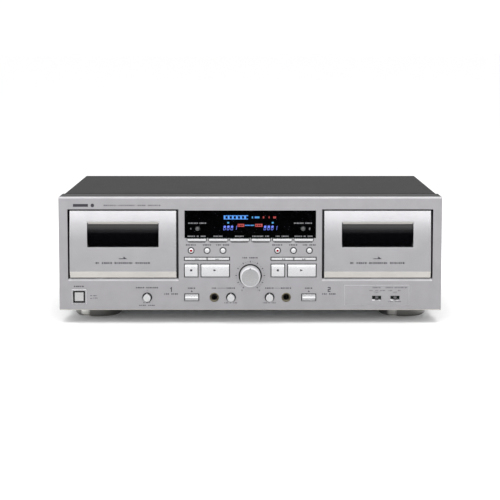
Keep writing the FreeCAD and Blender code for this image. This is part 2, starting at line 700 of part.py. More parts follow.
def flywheel(sign):
    """The flywheel with its belt groove, its hub and the capstan shaft."""
    x = sign * BAY_X + CAPSTAN_DX
    front, back = FLYWHEEL_Y
    rim, hub_r, web_r, web_dip = FLYWHEEL_R + GROOVE_DEPTH, 5.0, 13.0, 3.0
    outline = [(0, front - 1.5), (hub_r, front - 1.5), (hub_r, front), (rim, front),
               (rim, GROOVE_Y[0]), (FLYWHEEL_R, BELT_Y[0]), (FLYWHEEL_R, BELT_Y[1]),
               (rim, GROOVE_Y[1]), (rim, back), (web_r, back), (web_r, back - web_dip),
               (hub_r + 1, back - web_dip), (hub_r + 1, back), (0, back)]
    shaft = rod("y", (x, CAPSTAN_Z), CAPSTAN_R, SPINDLE_TIP_Y, BRIDGE_Y[0] - 0.5)
    shaft = rounded(shaft, 0.5, y=SPINDLE_TIP_Y)
    return fused(turned_y(outline, x, CAPSTAN_Z), shaft)


def reel(sign, way):
    """A reel table: gear, shaft, table and a nose with three drive fins."""
    x = sign * BAY_X + way * REEL_DX
    tip = SPINDLE_TIP_Y
    root, teeth_r = REEL_GEAR
    gear_front, gear_back = REEL_GEAR_Y
    table_back = PLATE_FRONT_Y - 0.6
    table_front = table_back - 1.9
    outline = [(0, tip), (1.6, tip), (REEL_NOSE_R, tip + 1.6), (REEL_NOSE_R, table_front - 1),
               (REEL_TABLE_R - 0.5, table_front - 0.5), (REEL_TABLE_R, table_front),
               (REEL_TABLE_R, table_back), (REEL_SHAFT_R, PLATE_FRONT_Y - 0.3),
               (REEL_SHAFT_R, gear_front), (root, gear_front), (root, gear_back), (0, gear_back)]
    body = turned_y(outline, x, REEL_Z)
    extras = []
    for n in range(3):
        fin_tip = REEL_Z + 4.6
        fin = box(x - 0.6, x + 0.6, tip + 1.8, table_front - 0.7, REEL_Z + 2.0, fin_tip)
        fin = chamfered(fin, 0.8, y=tip + 1.8, z=fin_tip)
        fin.rotate(V(x, 0, REEL_Z), V(0, 1, 0), 120 * n)
        extras.append(fin)
    for n in range(REEL_TEETH):
        tooth = box(x - 0.5, x + 0.5, gear_front, gear_back, REEL_Z + root - 0.4, REEL_Z + teeth_r)
        tooth.rotate(V(x, 0, REEL_Z), V(0, 1, 0), 360 / REEL_TEETH * n)
        extras.append(tooth)
    return fused(body, *extras)


def head_carriage(sign):
    """The sliding plate with the erase head, the tape head and the pinch roller's bracket."""
    x = sign * BAY_X
    front = CARRIAGE_FRONT_Y
    low, top = CARRIAGE_Z
    plate = box(x - CARRIAGE_HALF_W, x + CARRIAGE_HALF_W, front, CARRIAGE_BACK_Y, low, top)
    w = GUIDE_R + RUNNING
    slot_low, slot_high = GUIDE_Z - CARRIAGE_TRAVEL - 0.2, GUIDE_Z + 0.2
    y0, y1 = front - 1, CARRIAGE_BACK_Y + 1
    for way in (-1, 1):
        gx = x + way * GUIDE_DX
        plate = plate.cut(fused(box(gx - w, gx + w, y0, y1, slot_low, slot_high),
                                rod("y", (gx, slot_low), w, y0, y1),
                                rod("y", (gx, slot_high), w, y0, y1)))
    nose_r, nose_z, nose_low = HEAD_NOSE
    tape_head = box(x - nose_r, x + nose_r, HEAD_FRONT_Y, front, low + 2.5, nose_low + 1)
    nose = rod("y", (x, nose_z), nose_r, HEAD_FRONT_Y, front)
    nose = nose.common(box(x - 9, x + 9, HEAD_FRONT_Y - 1, front, nose_low, nose_z + nose_r + 1))
    erase = box(x - 27.0, x - 20.0, HEAD_FRONT_Y + 1, front, low + 3.5, top + 0.1)
    rx, rz = x + CAPSTAN_DX, roller_z()
    bracket = [box(rx - 4.5, rx + 4.5, ROLLER_Y[1] + 0.3, front, low + 1.5, rz + 2.5),
               rod("y", (rx, rz), ROLLER_PIN_R, ROLLER_Y[0] - 0.8, front)]
    return fused(plate, tape_head, nose, erase, *bracket)


def roller_z():
    """The pinch roller's resting height: raised, it stops just short of the capstan."""
    return CAPSTAN_Z - CAPSTAN_R - ROLLER_R - 0.2 - CARRIAGE_TRAVEL


def pinch_roller(sign):
    centre = (sign * BAY_X + CAPSTAN_DX, roller_z())
    return rod("y", centre, ROLLER_R, *ROLLER_Y).cut(
        rod("y", centre, ROLLER_PIN_R + RUNNING, ROLLER_Y[0] - 1, ROLLER_Y[1] + 1))


# ---------------------------------------------------------------- keys, knobs and display

def stem(x, z, end=STEM_END_Y):
    return rod("y", (x, z), STEM_R, FLANGE_Y[1], end)


def key(rect, proud=KEY_PROUD, laps=(KEY_LAP,) * 4, soft=0.5, corner=None):
    """A push key: cap through the panel, flange behind it and a stem. laps: left, right, low, high."""
    x0, x1, z0, z1 = rect
    front = FACE_Y - proud
    cap = box(x0, x1, front, FLANGE_Y[0], z0, z1)
    if corner:
        cap = soft_bottom(rect, front, FLANGE_Y[0], corner)
    front_face = [face for face in cap.Faces if abs(face.CenterOfMass.y - front) < 1e-4]
    cap = cap.makeFillet(soft, front_face[0].Edges)
    left, right, low, high = laps
    flange = box(x0 - left, x1 + right, *FLANGE_Y, z0 - low, z1 + high)
    return fused(cap, flange, stem((x0 + x1) / 2, (z0 + z1) / 2))


def round_key(x, z, radius, face_y, dome, flange_y=FLANGE_Y):
    """A round push key with a domed cap."""
    cap = rod("y", (x, z), radius, face_y, flange_y[0])
    ball_r = (radius ** 2 + dome ** 2) / (2 * dome)
    ball = Part.makeSphere(ball_r, V(x, face_y - dome + ball_r, z))
    crown = ball.common(rod("y", (x, z), radius, face_y - dome - 1, face_y))
    flange = rod("y", (x, z), radius + KEY_LAP, *flange_y)
    return fused(crown, cap, flange, stem(x, z))


def eject_key(sign):
    """A deeper key with a rounded nose along its length."""
    x0, x1, z0, z1 = eject_rect(sign)
    middle = (z0 + z1) / 2
    block = key((x0, x1, z0, z1), proud=1.2, soft=0.4)
    r = 2.4
    bar = rod("x", (FACE_Y - EJECT_PROUD + r, middle), r, x0 + 0.2, x1 - 0.2)
    neck = box(x0 + 0.2, x1 - 0.2, FACE_Y - EJECT_PROUD + r, FACE_Y, middle - r, middle + r)
    return fused(block, bar, neck)


def power_key():
    x0, x1, z0, z1 = square(POWER_X, POWER_Z, POWER_KEY)
    cap = rounded(box(x0, x1, FACE_Y - 0.5, -118.0, z0, z1), 0.6, y=FACE_Y - 0.5)
    return fused(cap, box(POWER_X - 2, POWER_X + 2, -118.0, -110.0, POWER_Z - 2, POWER_Z + 2))


def small_knob(x):
    """A slim knob with a pointer rib, on its potentiometer's shaft."""
    tip = FACE_Y - KNOB_PROUD
    body = Part.makeCone(KNOB_R, KNOB_R - 0.4, KNOB_PROUD + 2, V(x, FACE_Y + 2, LOW_Z), V(0, -1, 0))
    body = rounded(body, 0.5, y=tip)
    rib = box(x - 0.5, x + 0.5, tip + 0.3, FACE_Y + 1, LOW_Z + 3.0, LOW_Z + KNOB_R + 0.5)
    shaft = rod("y", (x, LOW_Z), POT_SHAFT_R, FACE_Y + 1, POT_FRONT_Y + 4)
    return fused(body, rib, shaft)


def rec_level_knob():
    """The large knob: tapered side, broad bevel, pointer dimple and shaft."""
    tip = FACE_Y - REC_PROUD
    bevel = 1.6
    outline = [(0, tip), (REC_TIP_R - bevel, tip), (REC_TIP_R, tip + bevel), (REC_R, FACE_Y + 2.5),
               (REC_SHAFT_R, FACE_Y + 2.5), (REC_SHAFT_R, POT_FRONT_Y + 5), (0, POT_FRONT_Y + 5)]
    dimple = Part.makeSphere(1.0, V(0, tip - 0.5, REC_Z + REC_TIP_R - bevel - 1.4))
    return turned_y(outline, 0, REC_Z).cut(dimple)


def switch_lever(x):
    w, h = SWITCH_LEVER
    front = FACE_Y - 1.4
    back = SWITCH_FRONT_Y - 0.2
    lever = box(x - w / 2, x + w / 2, front, back, LOW_Z - h / 2, LOW_Z + h / 2)
    foot = box(x - w / 2 - 1, x + w / 2 + 1, back - 1.6, back, LOW_Z - h / 2, LOW_Z + h / 2)
    return fused(rounded(lever, 0.6, y=front), foot)


def display_window():
    """The smoked lens, with a rear flange and a hole for each counter key."""
    low, high = DISPLAY_Z
    lens = box(-DISPLAY_HALF_W + 0.2, DISPLAY_HALF_W - 0.2, FACE_Y + DISPLAY_RECESS,
               PANEL_BACK_Y, low + 0.2, high - 0.2)
    flange = box(-DISPLAY_HALF_W - 1.5, DISPLAY_HALF_W + 1.5, PANEL_BACK_Y, PANEL_BACK_Y + 1.2,
                 low + 0.2, high + 1.5)
    holes = [rod("y", (sign * COUNTER_X, COUNTER_Z), COUNTER_R + 0.4, FACE_Y - 1, PANEL_BACK_Y + 3)
             for sign in (-1, 1)]
    return fused(lens, flange).cut(holes)


# ---------------------------------------------------------------- electronics and sockets

def key_centres():
    """Where a switch stands on the control board. The eject keys push a latch instead."""
    rects = function_rects()
    for side in SIDES:
        rects += [*wind_rects(side), *big_rects(side)]
    centres = [((x0 + x1) / 2, (z0 + z1) / 2) for x0, x1, z0, z1 in rects]
    for side in SIDES:
        centres += [(x, ROUND_KEY_Z) for x in ROUND_KEY_X[side]]
    return centres + [(sign * COUNTER_X, COUNTER_Z) for sign in (-1, 1)]


def potentiometer(x, z, half, shaft_r):
    block = box(x - half, x + half, POT_FRONT_Y, BOARD_FRONT_Y, z - half, z + half)
    return block.cut(rod("y", (x, z), shaft_r + RUNNING, POT_FRONT_Y - 1, BOARD_FRONT_Y + 1))


def board(x0, x1, low, top):
    """An upright board behind the front."""
    return box(x0, x1, BOARD_FRONT_Y, BOARD_FRONT_Y + BOARD_T, low, top)


def front_boards():
    """The control board, the small level, pitch and switch boards, and what stands on them."""
    half, low, top = CONTROL_BOARD
    solids = [board(-half, half, low, top)]
    switch_mid = sum(SWITCH_X.values()) / 2
    for x, half in ((0, LEVEL_BOARD_HALF), (PITCH_X, PITCH_BOARD_HALF), (switch_mid, SWITCH_BOARD_HALF)):
        solids.append(board(x - half, x + half, BOARD_LOW_Z, SMALL_BOARD_TOP))
    side, deep = TACT_SWITCH
    for x, z in key_centres():
        x0, x1, z0, z1 = square(x, z, side)
        solids.append(box(x0, x1, BOARD_FRONT_Y - deep, BOARD_FRONT_Y, z0, z1))
    solids.append(potentiometer(0, REC_Z, 8.5, REC_SHAFT_R))
    for x in (-LEVEL_X, LEVEL_X, PITCH_X):
        solids.append(potentiometer(x, LOW_Z, 5.0, POT_SHAFT_R))
    w, h = SWITCH_BODY
    for x in SWITCH_X.values():
        solids.append(box(x - w / 2, x + w / 2, SWITCH_FRONT_Y, BOARD_FRONT_Y,
                          LOW_Z - h / 2, LOW_Z + h / 2))
    solids.append(box(*DISPLAY_TUBE))
    side, front, back = POWER_SWITCH
    x0, x1, z0, z1 = square(POWER_X, POWER_Z, side)
    solids.append(box(x0, x1, front, back, z0, z1))
    return solids


def main_board():
    """The main board on four posts, with capacitors, chips and a heat sink."""
    x0, x1, y0, y1 = MAIN_BOARD
    top = MAIN_BOARD_Z + BOARD_T
    floor = CHASSIS_LOW_Z + SHEET
    solids = [box(x0, x1, y0, y1, MAIN_BOARD_Z, top)]
    corners = [(x, y) for x in (x0 + 8, x1 - 8) for y in (y0 + 8, y1 - 8)]
    solids += [rod("z", corner, 3.0, floor, MAIN_BOARD_Z) for corner in corners]
    r, height = CAPACITOR
    solids += [rod("z", place, r, top, top + height) for place in ((-70, 40), (-70, 60), (-50, 40))]
    r, height = SMALL_CAPACITOR
    for x in range(20, 160, 20):
        solids += [rod("z", (x, y), r, top, top + height) for y in (70, 95)]
    long, wide, height = CHIP
    for x in (0, 60, 120):
        solids += [box(x, x + long, y, y + wide, top, top + height) for y in (-20, 20)]
    solids.append(box(*HEAT_SINK, top, top + HEAT_SINK_H))
    return solids


def power_transformer():
    """Laminated core, winding and foot plate."""
    floor = CHASSIS_LOW_Z + SHEET
    foot_top = floor + 1.5
    foot = box(*TRANSFORMER_FOOT, floor, foot_top)
    core = box(*TRANSFORMER_CORE, foot_top, floor + 46)
    coil = box(*TRANSFORMER_COIL, floor + 8, floor + 40)
    return fused(foot, core, coil)


def jack_socket(x):
    """A 6.35 mm jack socket: round bush behind the panel's hole, then a square body."""
    front = PANEL_BACK_Y + 0.1
    body = box(x - 6.3, x + 6.3, -117.0, front + JACK_DEPTH + 1.5, LOW_Z - 6.3, LOW_Z + 6.3)
    bush = chamfered(rod("y", (x, LOW_Z), JACK_R, front, -117.0), 0.6, y=front)
    return fused(body, bush).cut(rod("y", (x, LOW_Z), JACK_BORE_R, front - 1, front + JACK_DEPTH))


def rca_socket(x, z):
    """A phono socket: collar, outer sleeve, and a core with the hole for the centre pin."""
    wall, end = REAR_WALL_Y, REAR_WALL_Y + 1 + RCA_LENGTH
    outline = [(1.6, end - 1), (2.6, end - 1), (2.6, wall + 3), (3.5, wall + 3), (3.5, end),
               (RCA_R, end), (RCA_R, wall + 1), (5.6, wall + 1), (5.6, wall), (3.5, wall),
               (3.5, wall - 8), (0, wall - 8), (0, wall + 1), (1.6, wall + 1)]
    return turned_y(outline, x, z)


def mains_inlet():
    """A two-pin figure-of-eight inlet, let into the rear wall."""
    wall = REAR_WALL_Y
    half_w, half_h = INLET_BODY[0] / 2, INLET_BODY[1] / 2
    rim_w, rim_h = half_w + INLET_RIM, half_h + INLET_RIM
    body = fused(
        box(INLET_X - half_w, INLET_X + half_w, wall - INLET_DEPTH, wall,
            INLET_Z - half_h, INLET_Z + half_h),
        box(INLET_X - rim_w, INLET_X + rim_w, wall, wall + 1.5, INLET_Z - rim_h, INLET_Z + rim_h),
    )
    y0, y1 = wall - INLET_DEPTH + 4, wall + 2
    centres = [(INLET_X + s * INLET_LOBE, INLET_Z) for s in (-1, 1)]
    lobes = [rod("y", centre, INLET_LOBE_R, y0, y1) for centre in centres]
    waist = box(INLET_X - INLET_LOBE, INLET_X + INLET_LOBE, y0, y1,
                INLET_Z - INLET_LOBE_R, INLET_Z + INLET_LOBE_R)
    pins = [rod("y", centre, 1.2, y0 - 1, wall - 1) for centre in centres]
    return fused(body.cut([*lobes, waist]), *pins)


def panel_sockets():
    solids = [jack_socket(sign * JACK_X) for sign in (-1, 1)]
    solids += [rca_socket(x, z) for x in RCA_X for z in RCA_Z]
    return solids + [mains_inlet()]


# ---------------------------------------------------------------- nodes

def save_casework():
    save("front_panel", front_panel())
    save("front_subframe", front_subframe())
    save("bottom_chassis", bottom_chassis())
    save("top_cover", top_cover())
    save("cover_screws", *cover_screws())
    save("feet", *feet())
    save("display_window", display_window())


def save_electronics():
    save("circuit_boards", *front_boards(), *main_board())
    save("power_transformer", power_transformer())
    save("panel_sockets", *panel_sockets())


def save_transports():
    both = SIDES.values()
    save("transport_frames", *[transport_frame(s) for s in both], *[capstan_motor(s) for s in both])
    for side, sign in SIDES.items():
        save(f"{side}_door_panel", door_panel(sign))
        save(f"{side}_door_window", door_window(sign))
        save(f"{side}_cassette_carrier", cassette_carrier(sign))
        save(f"{side}_supply_reel", reel(sign, -1))
        save(f"{side}_takeup_reel", reel(sign, 1))
        save(f"{side}_flywheel", flywheel(sign))
        save(f"{side}_motor_pulley", motor_pulley(sign))
        save(f"{side}_head_carriage", head_carriage(sign))
        save(f"{side}_pinch_roller", pinch_roller(sign))


def save_keys():
    names = ("left_return_key", "dubbing_key", "repeat_key", "parallel_key", "dub_start_key",
             "right_return_key")
    for name, rect in zip(names, function_rects()):
        save(name, key(rect, laps=(1.0, 1.0, 1.2, 0.3), soft=0.6, corner=FUNCTION_CORNER))
    inner = 0.2  # the two wind keys' flanges stop short of each other
    for side, sign in SIDES.items():
        rewind, forward = wind_rects(side)
        save(f"{side}_rewind_key", key(rewind, laps=(KEY_LAP, inner, KEY_LAP, KEY_LAP)))
        save(f"{side}_forward_key", key(forward, laps=(inner, KEY_LAP, KEY_LAP, KEY_LAP)))
        for name, rect in zip(("stop", "play"), big_rects(side)):
            save(f"{side}_{name}_key", key(rect))
        for name, x in zip(ROUND_KEY_NAMES, ROUND_KEY_X[side]):
            save(f"{side}_{name}_key", round_key(x, ROUND_KEY_Z, ROUND_KEY_R, FACE_Y - 0.6, 0.7))
        lens_back = PANEL_BACK_Y + 1.2
        save(f"{side}_counter_key", round_key(sign * COUNTER_X, COUNTER_Z, COUNTER_R,
             FACE_Y - 0.4, 0.9, (lens_back + 0.1, lens_back + 0.9)))
        save(f"{side}_eject_key", eject_key(sign))


def save_knobs():
    save("power_key", power_key())
    save("rec_level_knob", rec_level_knob())
    save("mic_level_knob", small_knob(-LEVEL_X))
    save("phones_level_knob", small_knob(LEVEL_X))
    save("pitch_knob", small_knob(PITCH_X))
    for name, x in SWITCH_X.items():
        save(f"{name}_switch", switch_lever(x))


os.makedirs("parts", exist_ok=True)
save_casework()
save_electronics()
save_transports()
save_keys()
save_knobs()
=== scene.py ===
# %% [markdown]
# # A double cassette deck
# This notebook dresses a finished mechanical model. The deck's parts, sizes and joints come from the
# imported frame, and every cell adds a finish or a small piece that only has to look right. The frame
# is in metres, with X to the right, Y to the back and Z up. Small sizes read better in
# millimetres, so most helpers take those and convert once.

# %% Load the frame
import json
import math
import bmesh
import bpy
from mathutils import Matrix, Vector


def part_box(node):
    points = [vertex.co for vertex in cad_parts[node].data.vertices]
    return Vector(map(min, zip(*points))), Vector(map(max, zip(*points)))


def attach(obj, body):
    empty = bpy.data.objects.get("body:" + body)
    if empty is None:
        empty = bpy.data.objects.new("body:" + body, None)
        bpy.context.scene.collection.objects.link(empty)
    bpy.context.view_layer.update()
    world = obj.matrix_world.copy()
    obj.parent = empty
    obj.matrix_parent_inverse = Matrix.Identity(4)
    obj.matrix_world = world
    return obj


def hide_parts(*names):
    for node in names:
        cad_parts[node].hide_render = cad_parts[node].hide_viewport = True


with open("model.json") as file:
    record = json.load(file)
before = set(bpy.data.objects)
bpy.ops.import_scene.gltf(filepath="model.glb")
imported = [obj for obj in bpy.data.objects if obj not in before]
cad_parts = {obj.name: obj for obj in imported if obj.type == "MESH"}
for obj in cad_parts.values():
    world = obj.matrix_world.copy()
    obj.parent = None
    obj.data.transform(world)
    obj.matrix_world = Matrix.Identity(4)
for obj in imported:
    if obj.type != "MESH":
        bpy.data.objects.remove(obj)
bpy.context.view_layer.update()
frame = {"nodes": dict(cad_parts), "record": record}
MM = 0.001
SIDES = {"left": -1, "right": 1}


# %% [markdown]
# ## Reading places from the frame
# Nothing is placed by eye. A knob's numerals sit round the knob's own box, and a key's symbol sits in
# the middle of the key. These two helpers give a node's middle and its box in millimetres.

# %% Places in millimetres
def box_mm(node):
    low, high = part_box(node)
    return low / MM, high / MM


def middle_mm(node):
    low, high = box_mm(node)
    return (low + high) / 2


PANEL_THICK = 3.0
PANEL_LOW, PANEL_HIGH = box_mm("front_panel")
FACE_Y = PANEL_HIGH.y - PANEL_THICK
PAD_PROUD = 0.6
PAD_Y = FACE_Y - PAD_PROUD
MOUNT_PLACES = {mount["name"]: Vector(mount["pos_m"]) / MM for mount in frame["record"]["mounts"]}
print("panel face at y =", round(FACE_Y, 2), "mm")

# %% [markdown]
# ## Camera
# Hi-fi gear looks best through a long lens from a little above: the front stays almost square and
# the top shows as a thin band. A long lens needs distance, here about a metre and two thirds.
# Part of the downward look is a tilt and part is a shift of the lens, as on a view camera. The
# shift keeps the upright edges nearly parallel.

# %% Camera
EYE_FROM_FACE = 1660.0
EYE_HEIGHT = 319.6
EYE_X = -0.3
TILT = math.radians(5.73)
LENS = 106.1
SENSOR_WIDTH = 36.0
SHIFT_Y = -0.1205

camera_data = bpy.data.cameras.new("camera")
camera_data.lens = LENS
camera_data.sensor_width = SENSOR_WIDTH
camera_data.shift_y = SHIFT_Y
camera_data.dof.use_dof = False
camera = bpy.data.objects.new("camera", camera_data)
camera.location = Vector((EYE_X, FACE_Y - EYE_FROM_FACE, EYE_HEIGHT)) * MM
camera.rotation_euler = (math.pi / 2 - TILT, 0.0, 0.0)
bpy.context.scene.collection.objects.link(camera)
bpy.context.scene.camera = camera
print("camera at", tuple(round(v, 3) for v in camera.location))


# %% [markdown]
# ## Studio
# The deck stands on a pale seamless floor. A pale world fills every side, and three lamps shape the
# metal: a large one overhead for the top edges, a very large one high in front of the deck, which
# the upper half of each door leans back to see, and a small weak one low at the left, for the feet
# and the left edge. The large ones keep the shadow under the deck soft.

# %% Floor and lights
def area_light(name, place, target, size, watts):
    data = bpy.data.lights.new(name, "AREA")
    data.shape = "RECTANGLE"
    data.size, data.size_y = size
    data.energy = watts
    lamp = bpy.data.objects.new(name, data)
    lamp.location = place
    way = Vector(target) - Vector(place)
    lamp.rotation_euler = way.to_track_quat("-Z", "Y").to_euler()
    lamp.visible_camera = False
    bpy.context.scene.collection.objects.link(lamp)
    return lamp


world = bpy.data.worlds.new("studio")
world.use_nodes = True
WORLD_STRENGTH = 1.05
background = world.node_tree.nodes["Background"].inputs
background["Color"].default_value = (1.0, 1.0, 1.0, 1.0)
background["Strength"].default_value = WORLD_STRENGTH
bpy.context.scene.world = world
bpy.context.scene.view_settings.view_transform = "Standard"

DECK_MIDDLE = (0.0, 0.0, 0.07)
area_light("overhead", (0.0, -0.1, 1.15), DECK_MIDDLE, (1.3, 0.9), 9.0)
area_light("front_box", (0.0, -3.6, 1.22), (0.0, -0.1, 0.1), (5.0, 1.6), 88.0)
area_light("left_strip", (-2.4, -1.4, 0.02), (0.0, -0.1, 0.01), (0.3, 0.3), 5.0)

FLOOR_HALF = 40.0
floor_mesh = bpy.data.meshes.new("floor")
corners = [(-1, -1), (1, -1), (1, 1), (-1, 1)]
floor_mesh.from_pydata([(x * FLOOR_HALF, y * FLOOR_HALF, 0.0) for x, y in corners], [], [(0, 1, 2, 3)])
floor = bpy.data.objects.new("floor", floor_mesh)
bpy.context.scene.collection.objects.link(floor)


# %% [markdown]
# ## Finishes: the tools
# Nearly every finish is a Principled shader whose colour, roughness and bump are driven by noise in
# the object's own space. Smoked plastic has no bump, because its polish is flawless. Object space is
# in metres here, so a noise scale of 2000 means grains of half a millimetre. Plain numbers go
# straight on the shader's sockets.

# %% Material helpers
def finish(name, colour, metallic=0.0, roughness=0.5, **sockets):
    """A Principled material. Extra sockets are named with underscores for spaces."""
    material = bpy.data.materials.new(name)
    material.use_nodes = True
    shader = material.node_tree.nodes["Principled BSDF"]
    shader.inputs["Base Color"].default_value = (*colour, 1.0)
    shader.inputs["Metallic"].default_value = metallic
    shader.inputs["Roughness"].default_value = roughness
    for socket, value in sockets.items():
        shader.inputs[socket.replace("_", " ")].default_value = value
    return material


def add_node(material, kind, **settings):
    new = material.node_tree.nodes.new(kind)
    for name, value in settings.items():
        setattr(new, name, value)
    return new


def grain(material, scale, stretch=(1.0, 1.0, 1.0), detail=2.0):
    """A noise texture in object space. A stretch below 1 draws the grain out along that axis."""
    place = add_node(material, "ShaderNodeTexCoord")
    mapping = add_node(material, "ShaderNodeMapping")
    mapping.inputs["Scale"].default_value = stretch
    noise = add_node(material, "ShaderNodeTexNoise")
    noise.inputs["Scale"].default_value = scale
    noise.inputs["Detail"].default_value = detail
    link = material.node_tree.links.new
    link(place.outputs["Object"], mapping.inputs["Vector"])
    link(mapping.outputs["Vector"], noise.inputs["Vector"])
    return noise.outputs["Fac"]


def spread(material, value, low, high):
    """Maps a 0 to 1 texture to the range low to high."""
    mapped = add_node(material, "ShaderNodeMapRange")
    mapped.inputs["From Min"].default_value = 0.25
    mapped.inputs["From Max"].default_value = 0.75
    mapped.inputs["To Min"].default_value = low
    mapped.inputs["To Max"].default_value = high
    material.node_tree.links.new(value, mapped.inputs["Value"])
    return mapped.outputs["Result"]


def shader_of(material):
    return material.node_tree.nodes["Principled BSDF"]


def vary_roughness(material, value, low, high):
    socket = shader_of(material).inputs["Roughness"]
    material.node_tree.links.new(spread(material, value, low, high), socket)


def vary_colour(material, value, dark, light):
    ramp = add_node(material, "ShaderNodeValToRGB")
    ramp.color_ramp.elements[0].position = 0.3
    ramp.color_ramp.elements[0].color = (*dark, 1.0)
    ramp.color_ramp.elements[1].position = 0.7
    ramp.color_ramp.elements[1].color = (*light, 1.0)
    link = material.node_tree.links.new
    link(value, ramp.inputs["Fac"])
    link(ramp.outputs["Color"], shader_of(material).inputs["Base Color"])


def bump(material, value, strength, depth_mm):
    bumped = add_node(material, "ShaderNodeBump")
    bumped.inputs["Strength"].default_value = strength
    bumped.inputs["Distance"].default_value = depth_mm * MM
    link = material.node_tree.links.new
    link(value, bumped.inputs["Height"])
    link(bumped.outputs["Normal"], shader_of(material).inputs["Normal"])


def near(colour, share):
    """The same colour, a little lighter or darker."""
    return tuple(min(1.0, c * (1 + share)) for c in colour)


def metal_finish(name, colour, roughness, scale, stretch, depth_mm, metallic=1.0, **sockets):
    """Metal or metallic paint: streaks or grains in colour, roughness and bump."""
    material = finish(name, colour, metallic, roughness, **sockets)
    vary_colour(material, grain(material, scale / 40, stretch), near(colour, -0.035), near(colour, 0.035))
    fine = grain(material, scale, stretch, detail=3.0)
    vary_roughness(material, fine, roughness * 0.85, roughness * 1.15)
    bump(material, fine, 0.25, depth_mm)
    return material


def moulded_finish(name, colour, roughness, scale=1800.0, depth_mm=0.03, **sockets):
    """Moulded plastic or paint: a faint orange peel, and a slow drift in colour."""
    material = finish(name, colour, 0.0, roughness, **sockets)
    vary_colour(material, grain(material, 30.0), near(colour, -0.08), near(colour, 0.08))
    fine = grain(material, scale)
    vary_roughness(material, fine, roughness * 0.88, roughness * 1.12)
    bump(material, fine, 0.3, depth_mm)
    return material


def smoked_finish(name, colour, roughness, specular, alpha):
    """Smoked acrylic. The polish is flawless, so only colour and roughness drift a little."""
    material = finish(name, colour, 0.0, roughness, Specular_IOR_Level=specular, Alpha=alpha)
    vary_colour(material, grain(material, 30.0), near(colour, -0.1), near(colour, 0.1))
    vary_roughness(material, grain(material, 60.0), roughness * 0.9, roughness * 1.1)
    return material


def painted_streak(material, way, edge, dark, light):
    """A painted highlight: a bright streak in the colour down a round wall, where the wall faces way. edge is
    how wide it is.
    """
    place = add_node(material, "ShaderNodeTexCoord")
    facing = add_node(material, "ShaderNodeVectorMath", operation="DOT_PRODUCT")
    facing.inputs[1].default_value = way
    ramp = add_node(material, "ShaderNodeValToRGB")
    ramp.color_ramp.elements[0].position = 1.0 - edge
    ramp.color_ramp.elements[0].color = (*dark, 1.0)
    ramp.color_ramp.elements[1].position = 1.0 - edge * 0.25
    ramp.color_ramp.elements[1].color = (*light, 1.0)
    link = material.node_tree.links.new
    link(place.outputs["Normal"], facing.inputs[0])
    link(facing.outputs["Value"], ramp.inputs["Fac"])
    link(ramp.outputs["Color"], shader_of(material).inputs["Base Color"])


def fade_by_height(material, low_mm, high_mm, stops):
    """Colours a finish by height: stops are (share of the height, colour) from low to high."""
    place = add_node(material, "ShaderNodeTexCoord")
    split = add_node(material, "ShaderNodeSeparateXYZ")
    share = add_node(material, "ShaderNodeMapRange")
    share.inputs["From Min"].default_value = low_mm * MM
    share.inputs["From Max"].default_value = high_mm * MM
    ramp = add_node(material, "ShaderNodeValToRGB")
    while len(ramp.color_ramp.elements) < len(stops):
        ramp.color_ramp.elements.new(0.5)
    for element, (position, colour) in zip(ramp.color_ramp.elements, stops):
        element.position = position
        element.color = (*colour, 1.0)
    link = material.node_tree.links.new
    link(place.outputs["Object"], split.inputs["Vector"])
    link(split.outputs["Z"], share.inputs["Value"])
    link(share.outputs["Result"], ramp.inputs["Fac"])
    link(ramp.outputs["Color"], shader_of(material).inputs["Base Color"])


# %% [markdown]
# ## Finishes: the floor
# A seamless studio sweep is pale card or paint. It only has to catch a soft shadow.

# %% Floor finish
floor_finish = finish("studio_floor", (0.95, 0.95, 0.95), 0.0, 0.9, Specular_IOR_Level=0.1)
vary_roughness(floor_finish, grain(floor_finish, 30.0), 0.8, 0.95)
floor_mesh.materials.append(floor_finish)
